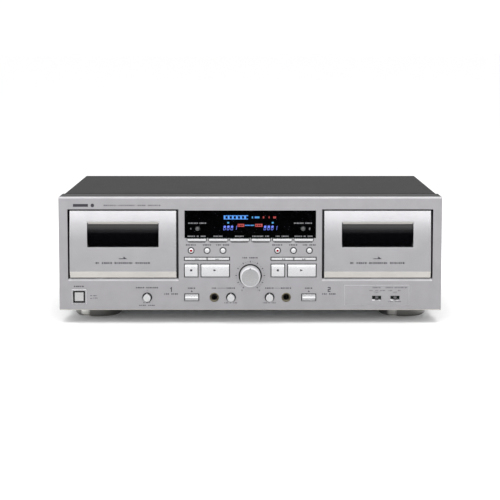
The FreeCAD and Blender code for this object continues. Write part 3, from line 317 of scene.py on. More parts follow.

# %% [markdown]
# ## Finishes: the deck
# The front is satin silver. The doors and keys carry the same silver in a glossier coat, so they
# pick up a gradient from the soft box. The cover is charcoal paint with a fine texture, and the
# frame behind the panel is dark moulded plastic. The display lens is left almost clear and without
# gloss, because the mask behind it already gives the black. Each foot is a bright cup, and the
# narrow streak where it would mirror one window of light is a painted highlight in its colour. One
# dictionary maps the frame's material slots to finishes, so that every carried-over part gets one.

# %% Slot finishes
EVEN = (1.0, 1.0, 1.0)
ALONG_X = (0.03, 1.0, 1.0)
finishes = {
    "panel_silver": metal_finish("satin_silver", (0.236, 0.232, 0.241), 0.40, 2600.0, EVEN, 0.012, 0.85),
    "door_silver": metal_finish("door_silver", (0.26, 0.257, 0.266), 0.24, 2600.0, EVEN, 0.005, 0.85,
                                Coat_Weight=0.15),
    "key_silver": metal_finish("key_silver", (0.42, 0.42, 0.43), 0.26, 2600.0, EVEN, 0.001, 0.8,
                               Coat_Weight=0.3),
    "knob_silver": metal_finish("knob_silver", (0.26, 0.26, 0.265), 0.28, 2600.0, EVEN, 0.003, 0.85),
    "cover_charcoal": moulded_finish("charcoal_paint", (0.017, 0.0162, 0.017), 0.60, 1500.0, 0.05,
                                     Specular_IOR_Level=0.06),
    "frame_dark": moulded_finish("frame_plastic", (0.013, 0.0128, 0.014), 0.50, Specular_IOR_Level=0.10),
    "chassis_zinc": metal_finish("zinc_sheet", (0.50, 0.51, 0.53), 0.40, 260.0, EVEN, 0.01),
    "foot_plated": metal_finish("plated_foot_painted_highlight", (0.22, 0.217, 0.208), 0.2, 2000.0, EVEN, 0.002),
    "lens_smoked": smoked_finish("smoked_lens", (0.0015, 0.0015, 0.002), 0.05, 0.0, 0.06),
    "window_smoked": smoked_finish("smoked_window_painted_reflection", (0.003, 0.003, 0.004), 0.08, 0.01, 0.93),
    "board_green": moulded_finish("board_green", (0.012, 0.05, 0.03), 0.35, 400.0, 0.05),
    "transformer_iron": metal_finish("iron_core", (0.16, 0.15, 0.15), 0.55, 900.0, (1.0, 1.0, 0.02), 0.05),
    "socket_black": moulded_finish("socket_black", (0.02, 0.02, 0.022), 0.35),
    "plate_steel": metal_finish("mechanism_steel", (0.10, 0.10, 0.105), 0.45, 900.0, EVEN, 0.02, 0.6),
    "carrier_black": moulded_finish("carrier_black", (0.012, 0.012, 0.013), 0.45),
    "reel_black": moulded_finish("reel_black", (0.035, 0.035, 0.037), 0.30),
    "flywheel_brass": metal_finish("turned_brass", (0.60, 0.44, 0.20), 0.25, 1500.0, (1.0, 0.05, 1.0), 0.01),
    "carriage_steel": metal_finish("polished_steel", (0.55, 0.55, 0.56), 0.25, 1500.0, ALONG_X, 0.01),
    "roller_rubber": moulded_finish("ground_rubber", (0.02, 0.02, 0.02), 0.75, 3000.0, 0.02),
    "screw_black": metal_finish("black_oxide", (0.05, 0.05, 0.052), 0.35, 1800.0, EVEN, 0.01, 0.8),
    "lever_black": moulded_finish("lever_black", (0.05, 0.05, 0.055), 0.35),
}

# Painted highlight: each foot's colour turns light in a narrow streak where its wall faces one way, as if it
# mirrored a window of light.
HIGHLIGHT_WAY = (-0.51, -0.86, 0.0)
HIGHLIGHT_EDGE = 0.035
painted_streak(finishes["foot_plated"], HIGHLIGHT_WAY, HIGHLIGHT_EDGE, (0.20, 0.197, 0.188), (0.75, 0.74, 0.71))


def dress(target, material):
    target.data.materials.clear()
    target.data.materials.append(material)


for part in frame["record"]["subparts"]:
    dress(frame["nodes"][part["node"]], finishes[part["material_slot"]])
print("finishes:", len(finishes))


# %% [markdown]
# ## Second finishes
# One moulding often shows two looks. Here the second look is painted light: the top edge and the
# edges that stand proud take a lighter silver as a painted highlight, the sill under each door is
# lighter still, also a painted highlight, and the bottom edge takes a warm painted reflection of the
# floor. The faces of a key behind the panel's face are painted dark, as painted shade. Faces of the
# mechanical model keep their shape, but any of them may take a second finish, chosen here by where
# a face is and which way it looks. The power key and the small knobs are silver too, but each in
# its own tone.

# %% Faces with a second finish
# Painted highlights, a painted reflection and painted shade: lighter silvers for the top edge, the proud
# edges and the sills, a warm one for the bottom edge, and a dark finish for the gaps round keys.
bright_cut = metal_finish("bright_cut_edge", (0.48, 0.475, 0.49), 0.30, 2600.0, EVEN, 0.002, 0.6)
top_edge_highlight = metal_finish("top_edge_painted_highlight", (0.34, 0.335, 0.345), 0.35, 2600.0, EVEN, 0.002, 0.8)
bottom_edge_reflection = metal_finish("bottom_edge_painted_reflection", (0.46, 0.445, 0.42), 0.35, 2600.0, EVEN, 0.002, 0.6)
sill_bright = moulded_finish("sill_bright", (0.50, 0.495, 0.51), 0.4, 2600.0, 0.005)
power_silver = metal_finish("power_key_silver", (0.33, 0.325, 0.325), 0.35, 2600.0, EVEN, 0.004, 0.85)
small_knob_silver = metal_finish("small_knob_silver", (0.40, 0.40, 0.405), 0.22, 2600.0, EVEN, 0.003, 0.85)
key_gap_shade = moulded_finish("key_gap_painted_shade", (0.012, 0.012, 0.013), 0.6, Specular_IOR_Level=0.1)


def paint(node, material, picked):
    """Gives material to the faces of a node that picked(middle in mm, normal) says yes to."""
    mesh = frame["nodes"][node].data
    mesh.materials.append(material)
    slot = len(mesh.materials) - 1
    chosen = [face for face in mesh.polygons if picked(face.center / MM, face.normal)]
    for face in chosen:
        face.material_index = slot
    return len(chosen)


EDGE_DEEP = 3.0
SILL_UP, SILL_HIGH_BY = 33.0, 3.5
SILL_LOW = PANEL_LOW.z + SILL_UP
SILL_HIGH = SILL_LOW + SILL_HIGH_BY


def on_top_edge(middle, normal):
    return normal.z > 0.2 and normal.y < -0.05 and middle.z > PANEL_HIGH.z - EDGE_DEEP


def on_proud_edge(middle, normal):
    return middle.y < FACE_Y - 0.02 and abs(normal.y) < 0.95


def on_sill(middle, normal):
    return normal.z > 0.3 and normal.y < -0.3 and SILL_LOW < middle.z < SILL_HIGH


def on_bottom_edge(middle, normal):
    return normal.z < -0.3 and normal.y < -0.3 and middle.z < PANEL_LOW.z + EDGE_DEEP


def behind_face(middle, normal):
    return normal.y < -0.9 and middle.y > FACE_Y + 0.2


PANEL_EDGES = [
    ("top edge", top_edge_highlight, on_top_edge),
    ("proud edges", bright_cut, on_proud_edge),
    ("sills", sill_bright, on_sill),
    ("bottom edge", bottom_edge_reflection, on_bottom_edge),
]
for name, material, picked in PANEL_EDGES:
    print(name, "faces:", paint("front_panel", material, picked))
dress(frame["nodes"]["power_key"], power_silver)
for name in ("pitch_knob", "mic_level_knob", "phones_level_knob"):
    dress(frame["nodes"][name], small_knob_silver)
# Painted shade: each key's faces behind the panel's face take the dark gap finish.
for part in frame["record"]["subparts"]:
    if part["material_slot"] == "key_silver":
        paint(part["node"], key_gap_shade, behind_face)


# %% [markdown]
# ## Building small pieces
# Three ways of building cover almost every added piece. A flat shape is a closed 2-D curve, filled
# and given a little thickness: printed marks, masks and lit segments. Curves nested in each other
# become holes by themselves. A lathe turns a profile about an axis that runs from front to back: the
# level knob, the round keys and the rings. A mesh from points serves for the rest.

# %% Piece helpers
TO_FRONT = Matrix.Rotation(math.pi / 2, 4, "X")


def add_piece(name, mesh, body, material):
    piece = bpy.data.objects.new(name, mesh)
    bpy.context.scene.collection.objects.link(piece)
    dress(piece, material)
    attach(piece, body)
    return piece


def flat_mesh(name, loops, y, thick):
    """Closed (x, z) loops in mm, filled and standing at y, with the given thickness."""
    curve = bpy.data.curves.new(name, "CURVE")
    curve.dimensions = "2D"
    curve.fill_mode = "BOTH"
    curve.extrude = thick * MM / 2
    for loop in loops:
        spline = curve.splines.new("POLY")
        spline.points.add(len(loop) - 1)
        for point, (x, z) in zip(spline.points, loop):
            point.co = (x * MM, z * MM, 0.0, 1.0)
        spline.use_cyclic_u = True
    holder = bpy.data.objects.new(name, curve)
    mesh = bpy.data.meshes.new_from_object(holder)
    bpy.data.objects.remove(holder)
    mesh.transform(Matrix.Translation((0.0, (y - thick / 2) * MM, 0.0)) @ TO_FRONT)
    return mesh


def lathe_mesh(name, profile, centre, steps):
    """Turns a closed (radius, y) profile in mm about the line along Y through centre, an (x, z)."""
    verts, faces = [], []
    count = len(profile)
    for step in range(steps):
        turn = 2 * math.pi * step / steps
        for radius, y in profile:
            x = centre[0] + radius * math.cos(turn)
            z = centre[1] + radius * math.sin(turn)
            verts.append(Vector((x, y, z)) * MM)
    for step in range(steps):
        for n in range(count):
            here, there = step * count, (step + 1) % steps * count
            faces.append((there + n, there + (n + 1) % count, here + (n + 1) % count, here + n))
    mesh = bpy.data.meshes.new(name)
    mesh.from_pydata(verts, [], faces)
    return smooth(clean(mesh))


def clean(mesh, joined=1e-7):
    """Joins points that coincide, drops what has no area, and turns every face outwards."""
    work = bmesh.new()
    work.from_mesh(mesh)
    bmesh.ops.remove_doubles(work, verts=work.verts, dist=joined)
    bmesh.ops.dissolve_degenerate(work, edges=work.edges, dist=joined)
    bmesh.ops.recalc_face_normals(work, faces=work.faces)
    work.to_mesh(mesh)
    work.free()
    return mesh


def smooth(mesh, degrees=32.0):
    mesh.shade_smooth()
    mesh.set_sharp_from_angle(angle=math.radians(degrees))
    return mesh


def rectangle(x0, x1, z0, z1):
    return [(x0, z0), (x1, z0), (x1, z1), (x0, z1)]


def disc(x, z, radius, points=40):
    turns = [2 * math.pi * n / points for n in range(points)]
    return [(x + radius * math.cos(t), z + radius * math.sin(t)) for t in turns]


def soften(piece, width_mm, segments=3, degrees=35.0):
    """A small bevel on every sharp edge, with flat faces kept flat."""
    bevel = piece.modifiers.new("edge", "BEVEL")
    bevel.width = width_mm * MM
    bevel.segments = segments
    bevel.limit_method = "ANGLE"
    bevel.angle_limit = math.radians(degrees)
    bevel.harden_normals = True
    return piece


# %% [markdown]
# ## Doors
# A cassette door is one moulding: a face that stands proud at a low brow, leans back in a gentle
# curve towards the top, and turns under below the brow. Its window is sunk, with sloped sides and
# slightly bowed ends. The curve matters more than anything else on the front, because it decides how
# the silver fades from white to grey. A subdivided cube would blur the brow, so the face is a strip
# of many rows that follow one formula, with the window left out, and the sides, back and window
# slopes are joined on. The lip under the brow takes a lighter, warmer finish, a painted reflection
# of the lit floor.

# %% Door
BROW_UP = 7.5
BROW_OUT = 4.5
FOOT_BACK = 3.5
BACK_UP = 1.8
ROWS = 28
WINDOW_HALF = 40.5
WINDOW_LOW_UP, WINDOW_HIGH_UP = 35.4, 64.2
SLOPE_IN = 1.7
SLOPE_IN_LOW, SLOPE_IN_HIGH = 0.6, 3.0
DOOR_EDGE = 0.45
BROW_SHARP = 15.0
LIP_REACH = 6.0
TINY = 1e-6


def door_face_y(z, low, high):
    brow = low.z + BROW_UP
    share = (z - brow) / (high.z - brow)
    return low.y + BROW_OUT * share ** 2


def window_of(low, high):
    """The window's (x0, x1, z0, z1) at the face and at the pane."""
    x = (low.x + high.x) / 2
    z0, z1 = low.z + WINDOW_LOW_UP, low.z + WINDOW_HIGH_UP
    at_face = (x - WINDOW_HALF, x + WINDOW_HALF, z0, z1)
    half = WINDOW_HALF - SLOPE_IN
    at_pane = (x - half, x + half, z0 + SLOPE_IN_LOW, z1 - SLOPE_IN_HIGH)
    return at_face, at_pane


def door_rows(low, high, at_face):
    """The heights of the face's rows, with one exactly at each end of the window."""
    brow = low.z + BROW_UP
    rows = [brow + (high.z - brow) * n / ROWS for n in range(ROWS + 1)]
    for edge in at_face[2:]:
        nearest = min(range(1, ROWS), key=lambda n: abs(rows[n] - edge))
        rows[nearest] = edge
    return rows


def door_mesh(side):
    node = f"{side}_door_panel"
    low, high = box_mm(node)
    pane_y = box_mm(f"{side}_door_window")[0].y
    at_face, at_pane = window_of(low, high)
    fx0, fx1, fz0, fz1 = at_face
    px0, px1, pz0, pz1 = at_pane
    rows = door_rows(low, high, at_face)
    columns = [low.x, fx0, fx1, high.x]
    verts, faces, index = [], [], {}

    def at(x, y, z):
        key = (round(x, 4), round(y, 4), round(z, 4))
        if key not in index:
            index[key] = len(verts)
            verts.append(Vector(key) * MM)
        return index[key]

    def face(*points):
        faces.append([at(*p) for p in points])

    def front(x, z):
        return (x, door_face_y(z, low, high), z)

    for z0, z1 in zip(rows, rows[1:]):
        for n, (x0, x1) in enumerate(zip(columns, columns[1:])):
            if n == 1 and z0 >= fz0 - TINY and z1 <= fz1 + TINY:
                continue
            face(front(x0, z0), front(x1, z0), front(x1, z1), front(x0, z1))
    foot = low.y + FOOT_BACK
    back = high.y
    low_back = low.z + BACK_UP
    for x0, x1 in zip(columns, columns[1:]):
        face((x0, foot, low.z), (x1, foot, low.z), front(x1, rows[0]), front(x0, rows[0]))
        face((x0, back, low_back), (x1, back, low_back), (x1, foot, low.z), (x0, foot, low.z))
        face(front(x0, rows[-1]), front(x1, rows[-1]), (x1, back, high.z), (x0, back, high.z))
    for x in (low.x, high.x):
        face((x, foot, low.z), *[front(x, z) for z in rows], (x, back, high.z), (x, back, low_back))

    def bowed(x, z):
        """The pane's end at a height: the ends bow outwards, most at half height."""
        share = (2 * z - pz0 - pz1) / (pz1 - pz0)
        return x + math.copysign(SLOPE_IN, x - (fx0 + fx1) / 2) * (1 - share ** 2)

    def to_pane(z):
        return pz0 + (z - fz0) * (pz1 - pz0) / (fz1 - fz0)

    inside = [z for z in rows if fz0 - TINY <= z <= fz1 + TINY]
    for x, px in ((fx0, px0), (fx1, px1)):
        for z0, z1 in zip(inside, inside[1:]):
            p0, p1 = to_pane(z0), to_pane(z1)
            px_low, px_high = bowed(px, p0), bowed(px, p1)
            face(front(x, z0), front(x, z1), (px_high, pane_y, p1), (px_low, pane_y, p0))
            face((px_low, pane_y, p0), (px_high, pane_y, p1), (px_high, back, p1), (px_low, back, p0))
    for z, pz in ((fz0, pz0), (fz1, pz1)):
        face(front(fx0, z), front(fx1, z), (px1, pane_y, pz), (px0, pane_y, pz))
        face((px0, pane_y, pz), (px1, pane_y, pz), (px1, back, pz), (px0, back, pz))
    hole = [to_pane(z) for z in inside]
    for x0, x1 in ((columns[0], px0), (px1, columns[3])):
        face((x0, back, low_back), (x1, back, low_back), (x1, back, pz0), (x0, back, pz0))
        face((x0, back, pz1), (x1, back, pz1), (x1, back, high.z), (x0, back, high.z))
        near_hole = px0 if x0 == columns[0] else px1
        far = x0 if near_hole == px0 else x1
        strip = [(bowed(near_hole, z), back, z) for z in hole]
        face((far, back, pz0), *strip, (far, back, pz1))
    face((px0, back, low_back), (px1, back, low_back), (px1, back, pz0), (px0, back, pz0))
    face((px0, back, pz1), (px1, back, pz1), (px1, back, high.z), (px0, back, high.z))
    mesh = bpy.data.meshes.new(f"{side}_door_skin")
    mesh.from_pydata(verts, [], faces)
    return smooth(clean(mesh), BROW_SHARP)


def paint_lip_reflection(door, side):
    """The turned-under lip below the brow and the slope above the window face down. They take a lighter,
    warmer finish, a painted reflection of the lit floor.
    """
    low, high = box_mm(f"{side}_door_panel")
    top = low.z + WINDOW_HIGH_UP
    door.data.materials.append(lip_painted_reflection)
    for face in door.data.polygons:
        middle = face.center / MM
        ahead = face.normal.y < -0.3 and face.normal.z < -0.2
        above_window = face.normal.z < -0.2 and top - SLOPE_IN_HIGH < middle.z < top
        if ahead or (above_window and middle.y < low.y + BROW_OUT + LIP_REACH):
            face.material_index = 1


# Painted reflection: a lighter, warmer silver for the door faces that look down at the floor.
lip_painted_reflection = metal_finish("lip_painted_reflection", (0.43, 0.415, 0.395), 0.35, 2600.0, EVEN, 0.003, 0.6)
for side in SIDES:
    door = add_piece(f"{side}_door_skin", door_mesh(side), f"{side}_door", finishes["door_silver"])
    paint_lip_reflection(door, side)
    soften(door, DOOR_EDGE, degrees=BROW_SHARP)
    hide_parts(f"{side}_door_panel")
    print(door.name, "has", len(door.data.polygons), "faces")

# %% [markdown]
# ## Door windows
# The pane is smoked acrylic with a slight crown from top to bottom. Its upper part carries a painted
# reflection: a grey haze that fades to black by the middle, coloured into the finish by height. That
# keeps the fade in place when the door swings open with it.

# %% Window panes
PANE_CROWN = 1.0
PANE_ROWS = 24


def pane_mesh(side):
    low, high = box_mm(f"{side}_door_window")
    heights = [low.z + (high.z - low.z) * n / PANE_ROWS for n in range(PANE_ROWS + 1)]
    middle = (low.z + high.z) / 2
    half = (high.z - low.z) / 2
    crowned = [(low.y - PANE_CROWN * (1 - ((z - middle) / half) ** 2), z) for z in heights]
    outline = crowned + [(high.y, high.z), (high.y, low.z)]
    count = len(outline)
    verts = [Vector((x, y, z)) * MM for x in (low.x, high.x) for y, z in outline]
    faces = [(n, (n + 1) % count, count + (n + 1) % count, count + n) for n in range(count)]
    faces += [tuple(range(count)), tuple(range(2 * count - 1, count - 1, -1))]
    mesh = bpy.data.meshes.new(f"{side}_window_pane")
    mesh.from_pydata(verts, [], faces)
    return smooth(clean(mesh))


# Painted reflection: the pane's colour is a grey haze at the top that fades to black by the middle.
window_low, window_high = box_mm("left_door_window")
fade_by_height(finishes["window_smoked"], window_low.z, window_high.z,
               [(0.0, (0.0004, 0.0004, 0.0006)), (0.56, (0.001, 0.001, 0.0015)),
                (0.70, (0.014, 0.014, 0.015)), (0.84, (0.048, 0.047, 0.048)), (1.0, (0.042, 0.041, 0.042))])
for side in SIDES:
    pane = add_piece(f"{side}_window_pane", pane_mesh(side), f"{side}_door", finishes["window_smoked"])
    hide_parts(f"{side}_door_window")
print("panes crowned by", PANE_CROWN, "mm")

# %% [markdown]
# ## Knobs
# The level knob is turned metal: a tapered side, a broad bevel that catches the light all round, and
# a face that is dished very slightly. A lathe profile gives all of that with exact edges, and the
# bevel and side take a lighter finish of their own, a painted highlight. The three small knobs keep
# the shape that the mechanical model gives them, which has a pointer rib.

# %% Level knob
KNOB_BEVEL = 1.7
KNOB_TAPER = 0.7
KNOB_DISH = 0.25
SKIRT_GAP = 2.5
KNOB_SHAFT_R = 3.0


def big_knob():
    low, high = box_mm("rec_level_knob")
    x, z = (low.x + high.x) / 2, (low.z + high.z) / 2
    base = (high.x - low.x) / 2
    tip = base - KNOB_TAPER
    back = FACE_Y + SKIRT_GAP
    rim = tip - KNOB_BEVEL
    profile = [(0.0, low.y + KNOB_DISH), (rim * 0.5, low.y + KNOB_DISH * 0.75), (rim - 0.25, low.y + 0.02),
               (rim, low.y), (rim + 0.2, low.y + 0.04), (tip - 0.15, low.y + KNOB_BEVEL * 0.92),
               (tip, low.y + KNOB_BEVEL * 1.2), (base - 0.3, back - 2.2), (base - 0.55, back - 2.0),
               (base - 0.55, back - 1.5), (base - 0.25, back - 1.3), (base, back - 1.0),
               (base, back), (KNOB_SHAFT_R, back), (KNOB_SHAFT_R, high.y), (0.0, high.y)]
    return lathe_mesh("level_knob_cap", profile, (x, z), steps=128)


knob = add_piece("level_knob_cap", big_knob(), "rec_level_knob", finishes["knob_silver"])
# Painted highlight: the knob's bevel and side take the lighter finish, and the face keeps the knob's silver.
knob.data.materials.append(sill_bright)
for face in knob.data.polygons:
    is_face = face.normal.y <= -0.95
    if not is_face and face.center.y / MM < FACE_Y + 0.5:
        face.material_index = 1
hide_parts("rec_level_knob")
print("level knob has", len(knob.data.polygons), "faces")

# %% [markdown]
# ## Big keys
# The stop and play keys are crowned from bottom to top, so each fades from white at its upper edge
# to grey below. A flat-faced key would be one even tone. Each cap is a slab of many rows, and each
# row is set back along an arc. The cap's outline is read from the part of the CAD key that stands
# in front of the panel.

# %% Crowned key caps
KEY_CROWN = 0.55
KEY_ROWS = 14
KEY_EDGE = 0.35


def cap_box(node):
    """The (x0, x1, z0, z1) of what stands in front of the panel, in mm."""
    ahead = [v.co / MM for v in frame["nodes"][node].data.vertices if v.co.y / MM < FACE_Y - 0.05]
    xs, zs = [v.x for v in ahead], [v.z for v in ahead]
    return min(xs), max(xs), min(zs), max(zs)


def crowned_cap(node):
    x0, x1, z0, z1 = cap_box(node)
    low, high = box_mm(node)
    middle, half = (z0 + z1) / 2, (z1 - z0) / 2
    verts, faces = [], []
    for n in range(KEY_ROWS + 1):
        z = z0 + (z1 - z0) * n / KEY_ROWS
        y = low.y + KEY_CROWN * ((z - middle) / half) ** 2
        verts += [Vector(p) * MM for p in ((x0, y, z), (x1, y, z), (x1, high.y, z), (x0, high.y, z))]
    for n in range(KEY_ROWS):
        a, b = 4 * n, 4 * n + 4
        faces += [(a + k, a + (k + 1) % 4, b + (k + 1) % 4, b + k) for k in range(4)]
    last = 4 * KEY_ROWS
    faces += [(0, 3, 2, 1), (last, last + 1, last + 2, last + 3)]
    mesh = bpy.data.meshes.new(f"{node}_cap")
    mesh.from_pydata(verts, [], faces)
    cap = add_piece(f"{node}_cap", clean(mesh), node, finishes["key_silver"])
    cap.data.shade_smooth()
    soften(cap, KEY_EDGE)
    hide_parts(node)
    return cap


for side in SIDES:
    for key in ("stop", "play"):
        crowned_cap(f"{side}_{key}_key")
print("crowned caps:", 4)

# %% [markdown]
# ## Round keys
# The record, pause and mute keys are small domes, and so are the two dark counter keys in the lens.
# A dome shows a highlight that slides over it, which a flat disc never does. A squashed sphere would
# serve, but a lathe turn gives a rim that runs straight into the stem. Its radius is the key's own.

# %% Domed keys
DOME = [(0.0, 0.0), (0.35, 0.05), (0.60, 0.17), (0.80, 0.38), (0.93, 0.66), (1.0, 1.05)]
STEM_DEEP = 2.0


def domed_key(node, slot="key_silver"):
    low, high = box_mm(node)
    x0, x1, z0, z1 = cap_box(node)
    radius = (x1 - x0) / 2
    profile = [(share * radius, low.y + drop) for share, drop in DOME]
    profile += [(radius, FACE_Y + STEM_DEEP), (0.0, FACE_Y + STEM_DEEP)]
    dome = lathe_mesh(f"{node}_dome", profile, ((x0 + x1) / 2, (z0 + z1) / 2), steps=64)
    cap = add_piece(f"{node}_dome", dome, node, finishes[slot])
    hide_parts(node)
    return cap


for side in SIDES:
    for key in ("record", "pause", "mute"):
        domed_key(f"{side}_{key}_key")
    domed_key(f"{side}_counter_key", "reel_black")
print("domed keys:", 8)

# %% [markdown]
# ## Printed marks
# The legends on a real panel are silk-screened in dark grey. Here each word is a row of plain upright
# dashes of the same length, and only generic signs are kept: numerals, arrows, and the usual tape
# signs. Every mark is a thin filled shape that stands just proud of the face, so it follows its part
# in any pose. An image would do the same on screen, but it would blur close up.

# %% Mark finishes and helper
INK_THICK = 0.05
ink = moulded_finish("screen_ink", (0.03, 0.028, 0.034), 0.6, Specular_IOR_Level=0.2)
ink_light = moulded_finish("screen_ink_light", (0.19, 0.19, 0.20), 0.6, Specular_IOR_Level=0.2)
ink_red = moulded_finish("screen_ink_red", (0.22, 0.004, 0.008), 0.45, Specular_IOR_Level=0.1)
ink_soft = moulded_finish("screen_ink_soft", (0.08, 0.077, 0.085), 0.6, Specular_IOR_Level=0.2)


def marks(name, loops, body="deck", material=ink, y=None):
    y = FACE_Y if y is None else y
    return add_piece(name, flat_mesh(name, loops, y + INK_THICK * 0.2, INK_THICK), body, material)


LETTER_WIDTHS = (0.64, 0.50, 0.72, 0.44, 0.66, 0.56, 0.74)


def dashes(x, z, width, height, words):
    """Upright dashes in words: words holds how many dashes each word has."""
    words = (words,) if isinstance(words, int) else words
    pitch = width / (sum(words) + len(words) - 1)
    left = x - width / 2
    loops = []
    for word in words:
        for n in range(word):
            share = LETTER_WIDTHS[(n + word) % len(LETTER_WIDTHS)]
            loops.append(rectangle(left, left + pitch * share, z - height / 2, z + height / 2))
            left += pitch
        left += pitch
    return loops


def triangle(x, z, width, height):
    """Points right for a positive width, left for a negative one."""
    return [(x - width / 2, z - height / 2), (x + width / 2, z), (x - width / 2, z + height / 2)]


def arrow_up(x, z, width, height):
    return [(x - width / 2, z - height / 2), (x + width / 2, z - height / 2), (x, z + height / 2)]


# %% [markdown]
# ## Numerals
# The decks are numbered 1 and 2, and the level scale ends at 0 and 10. A text object would bring in
# a typeface, so each numeral is a few strokes instead, on a grid of 4 by 7 units, each as
# (x0, z0, x1, z1).

# %% Numerals
BOLD = 1.25
STROKES = {
    "0": [(0, 0, 4, BOLD), (0, 7 - BOLD, 4, 7), (0, BOLD, BOLD, 7 - BOLD), (4 - BOLD, BOLD, 4, 7 - BOLD)],
    "1": [(2 - BOLD / 2, 0, 2 + BOLD / 2, 7), (0.3, 5.8 - BOLD, 2 - BOLD / 2, 5.8)],
    "2": [(0, 7 - BOLD, 4, 7), (4 - BOLD, 3.5 + BOLD / 2, 4, 7 - BOLD),
          (0, 3.5 - BOLD / 2, 4, 3.5 + BOLD / 2), (0, BOLD, BOLD, 3.5 - BOLD / 2), (0, 0, 4, BOLD)],
}


def numeral(sign, x, z, height):
    unit = height / 7
    left, low = x - 2 * unit, z - height / 2
    return [rectangle(left + a * unit, left + c * unit, low + b * unit, low + d * unit)
            for a, b, c, d in STROKES[sign]]


# %% [markdown]
# ## Marks over the controls
# Every round key has its dashes at the same height over its own middle. The arrow over an eject key
# shows that the door opens, and the big numerals tell the two decks apart. The pitch knob and the
# power key get their marks here as well.

# %% Marks over the controls
LABEL_HIGH = 1.5
SMALL_HIGH = 1.1
TINY_HIGH = 0.8
THIN = 0.4
DECK_NUMBER_X = 89.9
DECK_NUMBERS = {"left": "1", "right": "2"}
ROUND_KEY_LABELS = {"record": (6, 11.9), "pause": (5, 9.5), "mute": ((3, 4), 15.1)}

for side, sign in SIDES.items():
    for key, (letters, width) in ROUND_KEY_LABELS.items():
        place = middle_mm(f"{side}_{key}_key")
        marks(f"{side}_{key}_label", dashes(place.x, place.z + 6.4, width, LABEL_HIGH, letters))
    place = middle_mm(f"{side}_eject_key")
    marks(f"{side}_eject_label", dashes(place.x, place.z + 10.6, 8.6, LABEL_HIGH, 5)
          + [arrow_up(place.x, place.z + 7.2, 2.3, 2.1)])
    number_x = sign * DECK_NUMBER_X
    marks(f"{side}_deck_number", numeral(DECK_NUMBERS[side], number_x, PANEL_LOW.z + 23.8, 5.6)
          + dashes(number_x, PANEL_LOW.z + 18.6, 15.9, LABEL_HIGH, (3, 4)))
place = middle_mm("pitch_knob")
pitch = dashes(place.x, place.z + 10.9, 25.5, LABEL_HIGH, (5, 7))
pitch.append(rectangle(place.x - THIN / 2, place.x + THIN / 2, place.z + 7.2, place.z + 8.6))
pitch += dashes(place.x, place.z - 6.4, 9.0, TINY_HIGH, 3)
pitch += dashes(place.x, place.z - 9.5, 18.2, SMALL_HIGH, (4, 4))
marks("pitch_label", pitch)
place = middle_mm("power_key")
power = dashes(place.x, place.z + 11.9, 11.6, LABEL_HIGH, 5)
for up in (1.2, -2.0):
    power.append(rectangle(place.x + 12.5, place.x + 14.7, place.z + up - 0.3, place.z + up + 0.3))
power += dashes(place.x + 18.6, place.z + 1.2, 4.6, 0.9, 2)
power += dashes(place.x + 18.9, place.z - 1.5, 5.2, 0.9, 3)
marks("power_label", power)

# %% [markdown]
# ## Marks round the small knobs
# A jack and its level knob share a label: dashes over each, and a fine line between the two. The line
# is worked out from both places, so it always spans the gap.

# %% Marks round the small knobs
JACKS = {"mic": (5.5, 3), "phones": (12.2, 6)}
LEVEL_WIDE = 9.9
for name, (width, letters) in JACKS.items():
    knob_place = middle_mm(f"{name}_level_knob")
    jack_x = MOUNT_PLACES[f"{name}_jack"].x
    z = knob_place.z + 10.4
    way = 1 if jack_x > knob_place.x else -1
    line = sorted((knob_place.x + way * (LEVEL_WIDE / 2 + 0.7), jack_x - way * (width / 2 + 0.7)))
    marks(f"{name}_level_label", dashes(knob_place.x, z, LEVEL_WIDE, LABEL_HIGH, 5)
          + dashes(jack_x, z, width, LABEL_HIGH, letters)
          + [rectangle(*line, z - THIN / 2, z + THIN / 2)]
          + dashes(knob_place.x, knob_place.z - 6.6, 15.3, SMALL_HIGH, (3, 1, 3)))

# %% [markdown]
# ## Level knob's pointer
# The pointer is a soft grey bar near the knob's edge. It rides the knob's body, so it turns with it.

# %% Level knob's pointer
knob_place = middle_mm("rec_level_knob")
POINTER_UP = 9.6
POINTER_HALF_W, POINTER_HALF_H = 0.5, 1.0
pointer_z = knob_place.z + POINTER_UP
pointer = rectangle(knob_place.x - POINTER_HALF_W, knob_place.x + POINTER_HALF_W,
                    pointer_z - POINTER_HALF_H, pointer_z + POINTER_HALF_H)
pointer_y = box_mm("rec_level_knob")[0].y - INK_THICK
marks("level_knob_pointer", [pointer], "rec_level_knob", ink_soft, pointer_y)

# %% [markdown]
# ## Marks on the switch pad
# The slide switches stand on a pad that is a little proud of the panel, so their marks lie on the
# pad's own face. Each switch has a title, its positions, and a line that joins the positions.

# %% Marks on the switch pad
def switch_marks(name, title, words, under):
    """A title, a row of position names joined by a line, and a word under the switch."""
    place = middle_mm(name)
    title_dx, title_width, letters = title
    loops = dashes(place.x + title_dx, place.z + 11.4, title_width, 1.3, letters)
    for dx, width, count in words:
        loops += dashes(place.x + dx, place.z + 8.0, width, SMALL_HIGH, count)
    ends = [place.x + dx for dx, _, _ in words]
    loops.append(rectangle(min(ends) + 2.5, max(ends) - 2.5, place.z + 6.5, place.z + 6.5 + THIN / 2))
    loops += dashes(place.x, place.z + 5.4, 4.6, TINY_HIGH, 3)
    if under:
        loops += dashes(place.x, place.z - 4.8, under, SMALL_HIGH, (3, 4))
    marks(f"{name}_marks", loops, material=ink_soft, y=PAD_Y)


switch_marks("timer_switch", (0.0, 9.2, 5), [(-6.3, 4.2, 3), (0.4, 3.8, 3), (7.0, 5.7, 4)], None)
switch_marks("noise_reduction_switch", (2.0, 25.3, (5, 9)), [(-5.0, 4.4, 3), (5.2, 3.6, 2)], 14.9)

# %% [markdown]
# ## Name line
# Makers print a badge and a type line over the first door. A plain bar, a disc and dashes take their
# place.

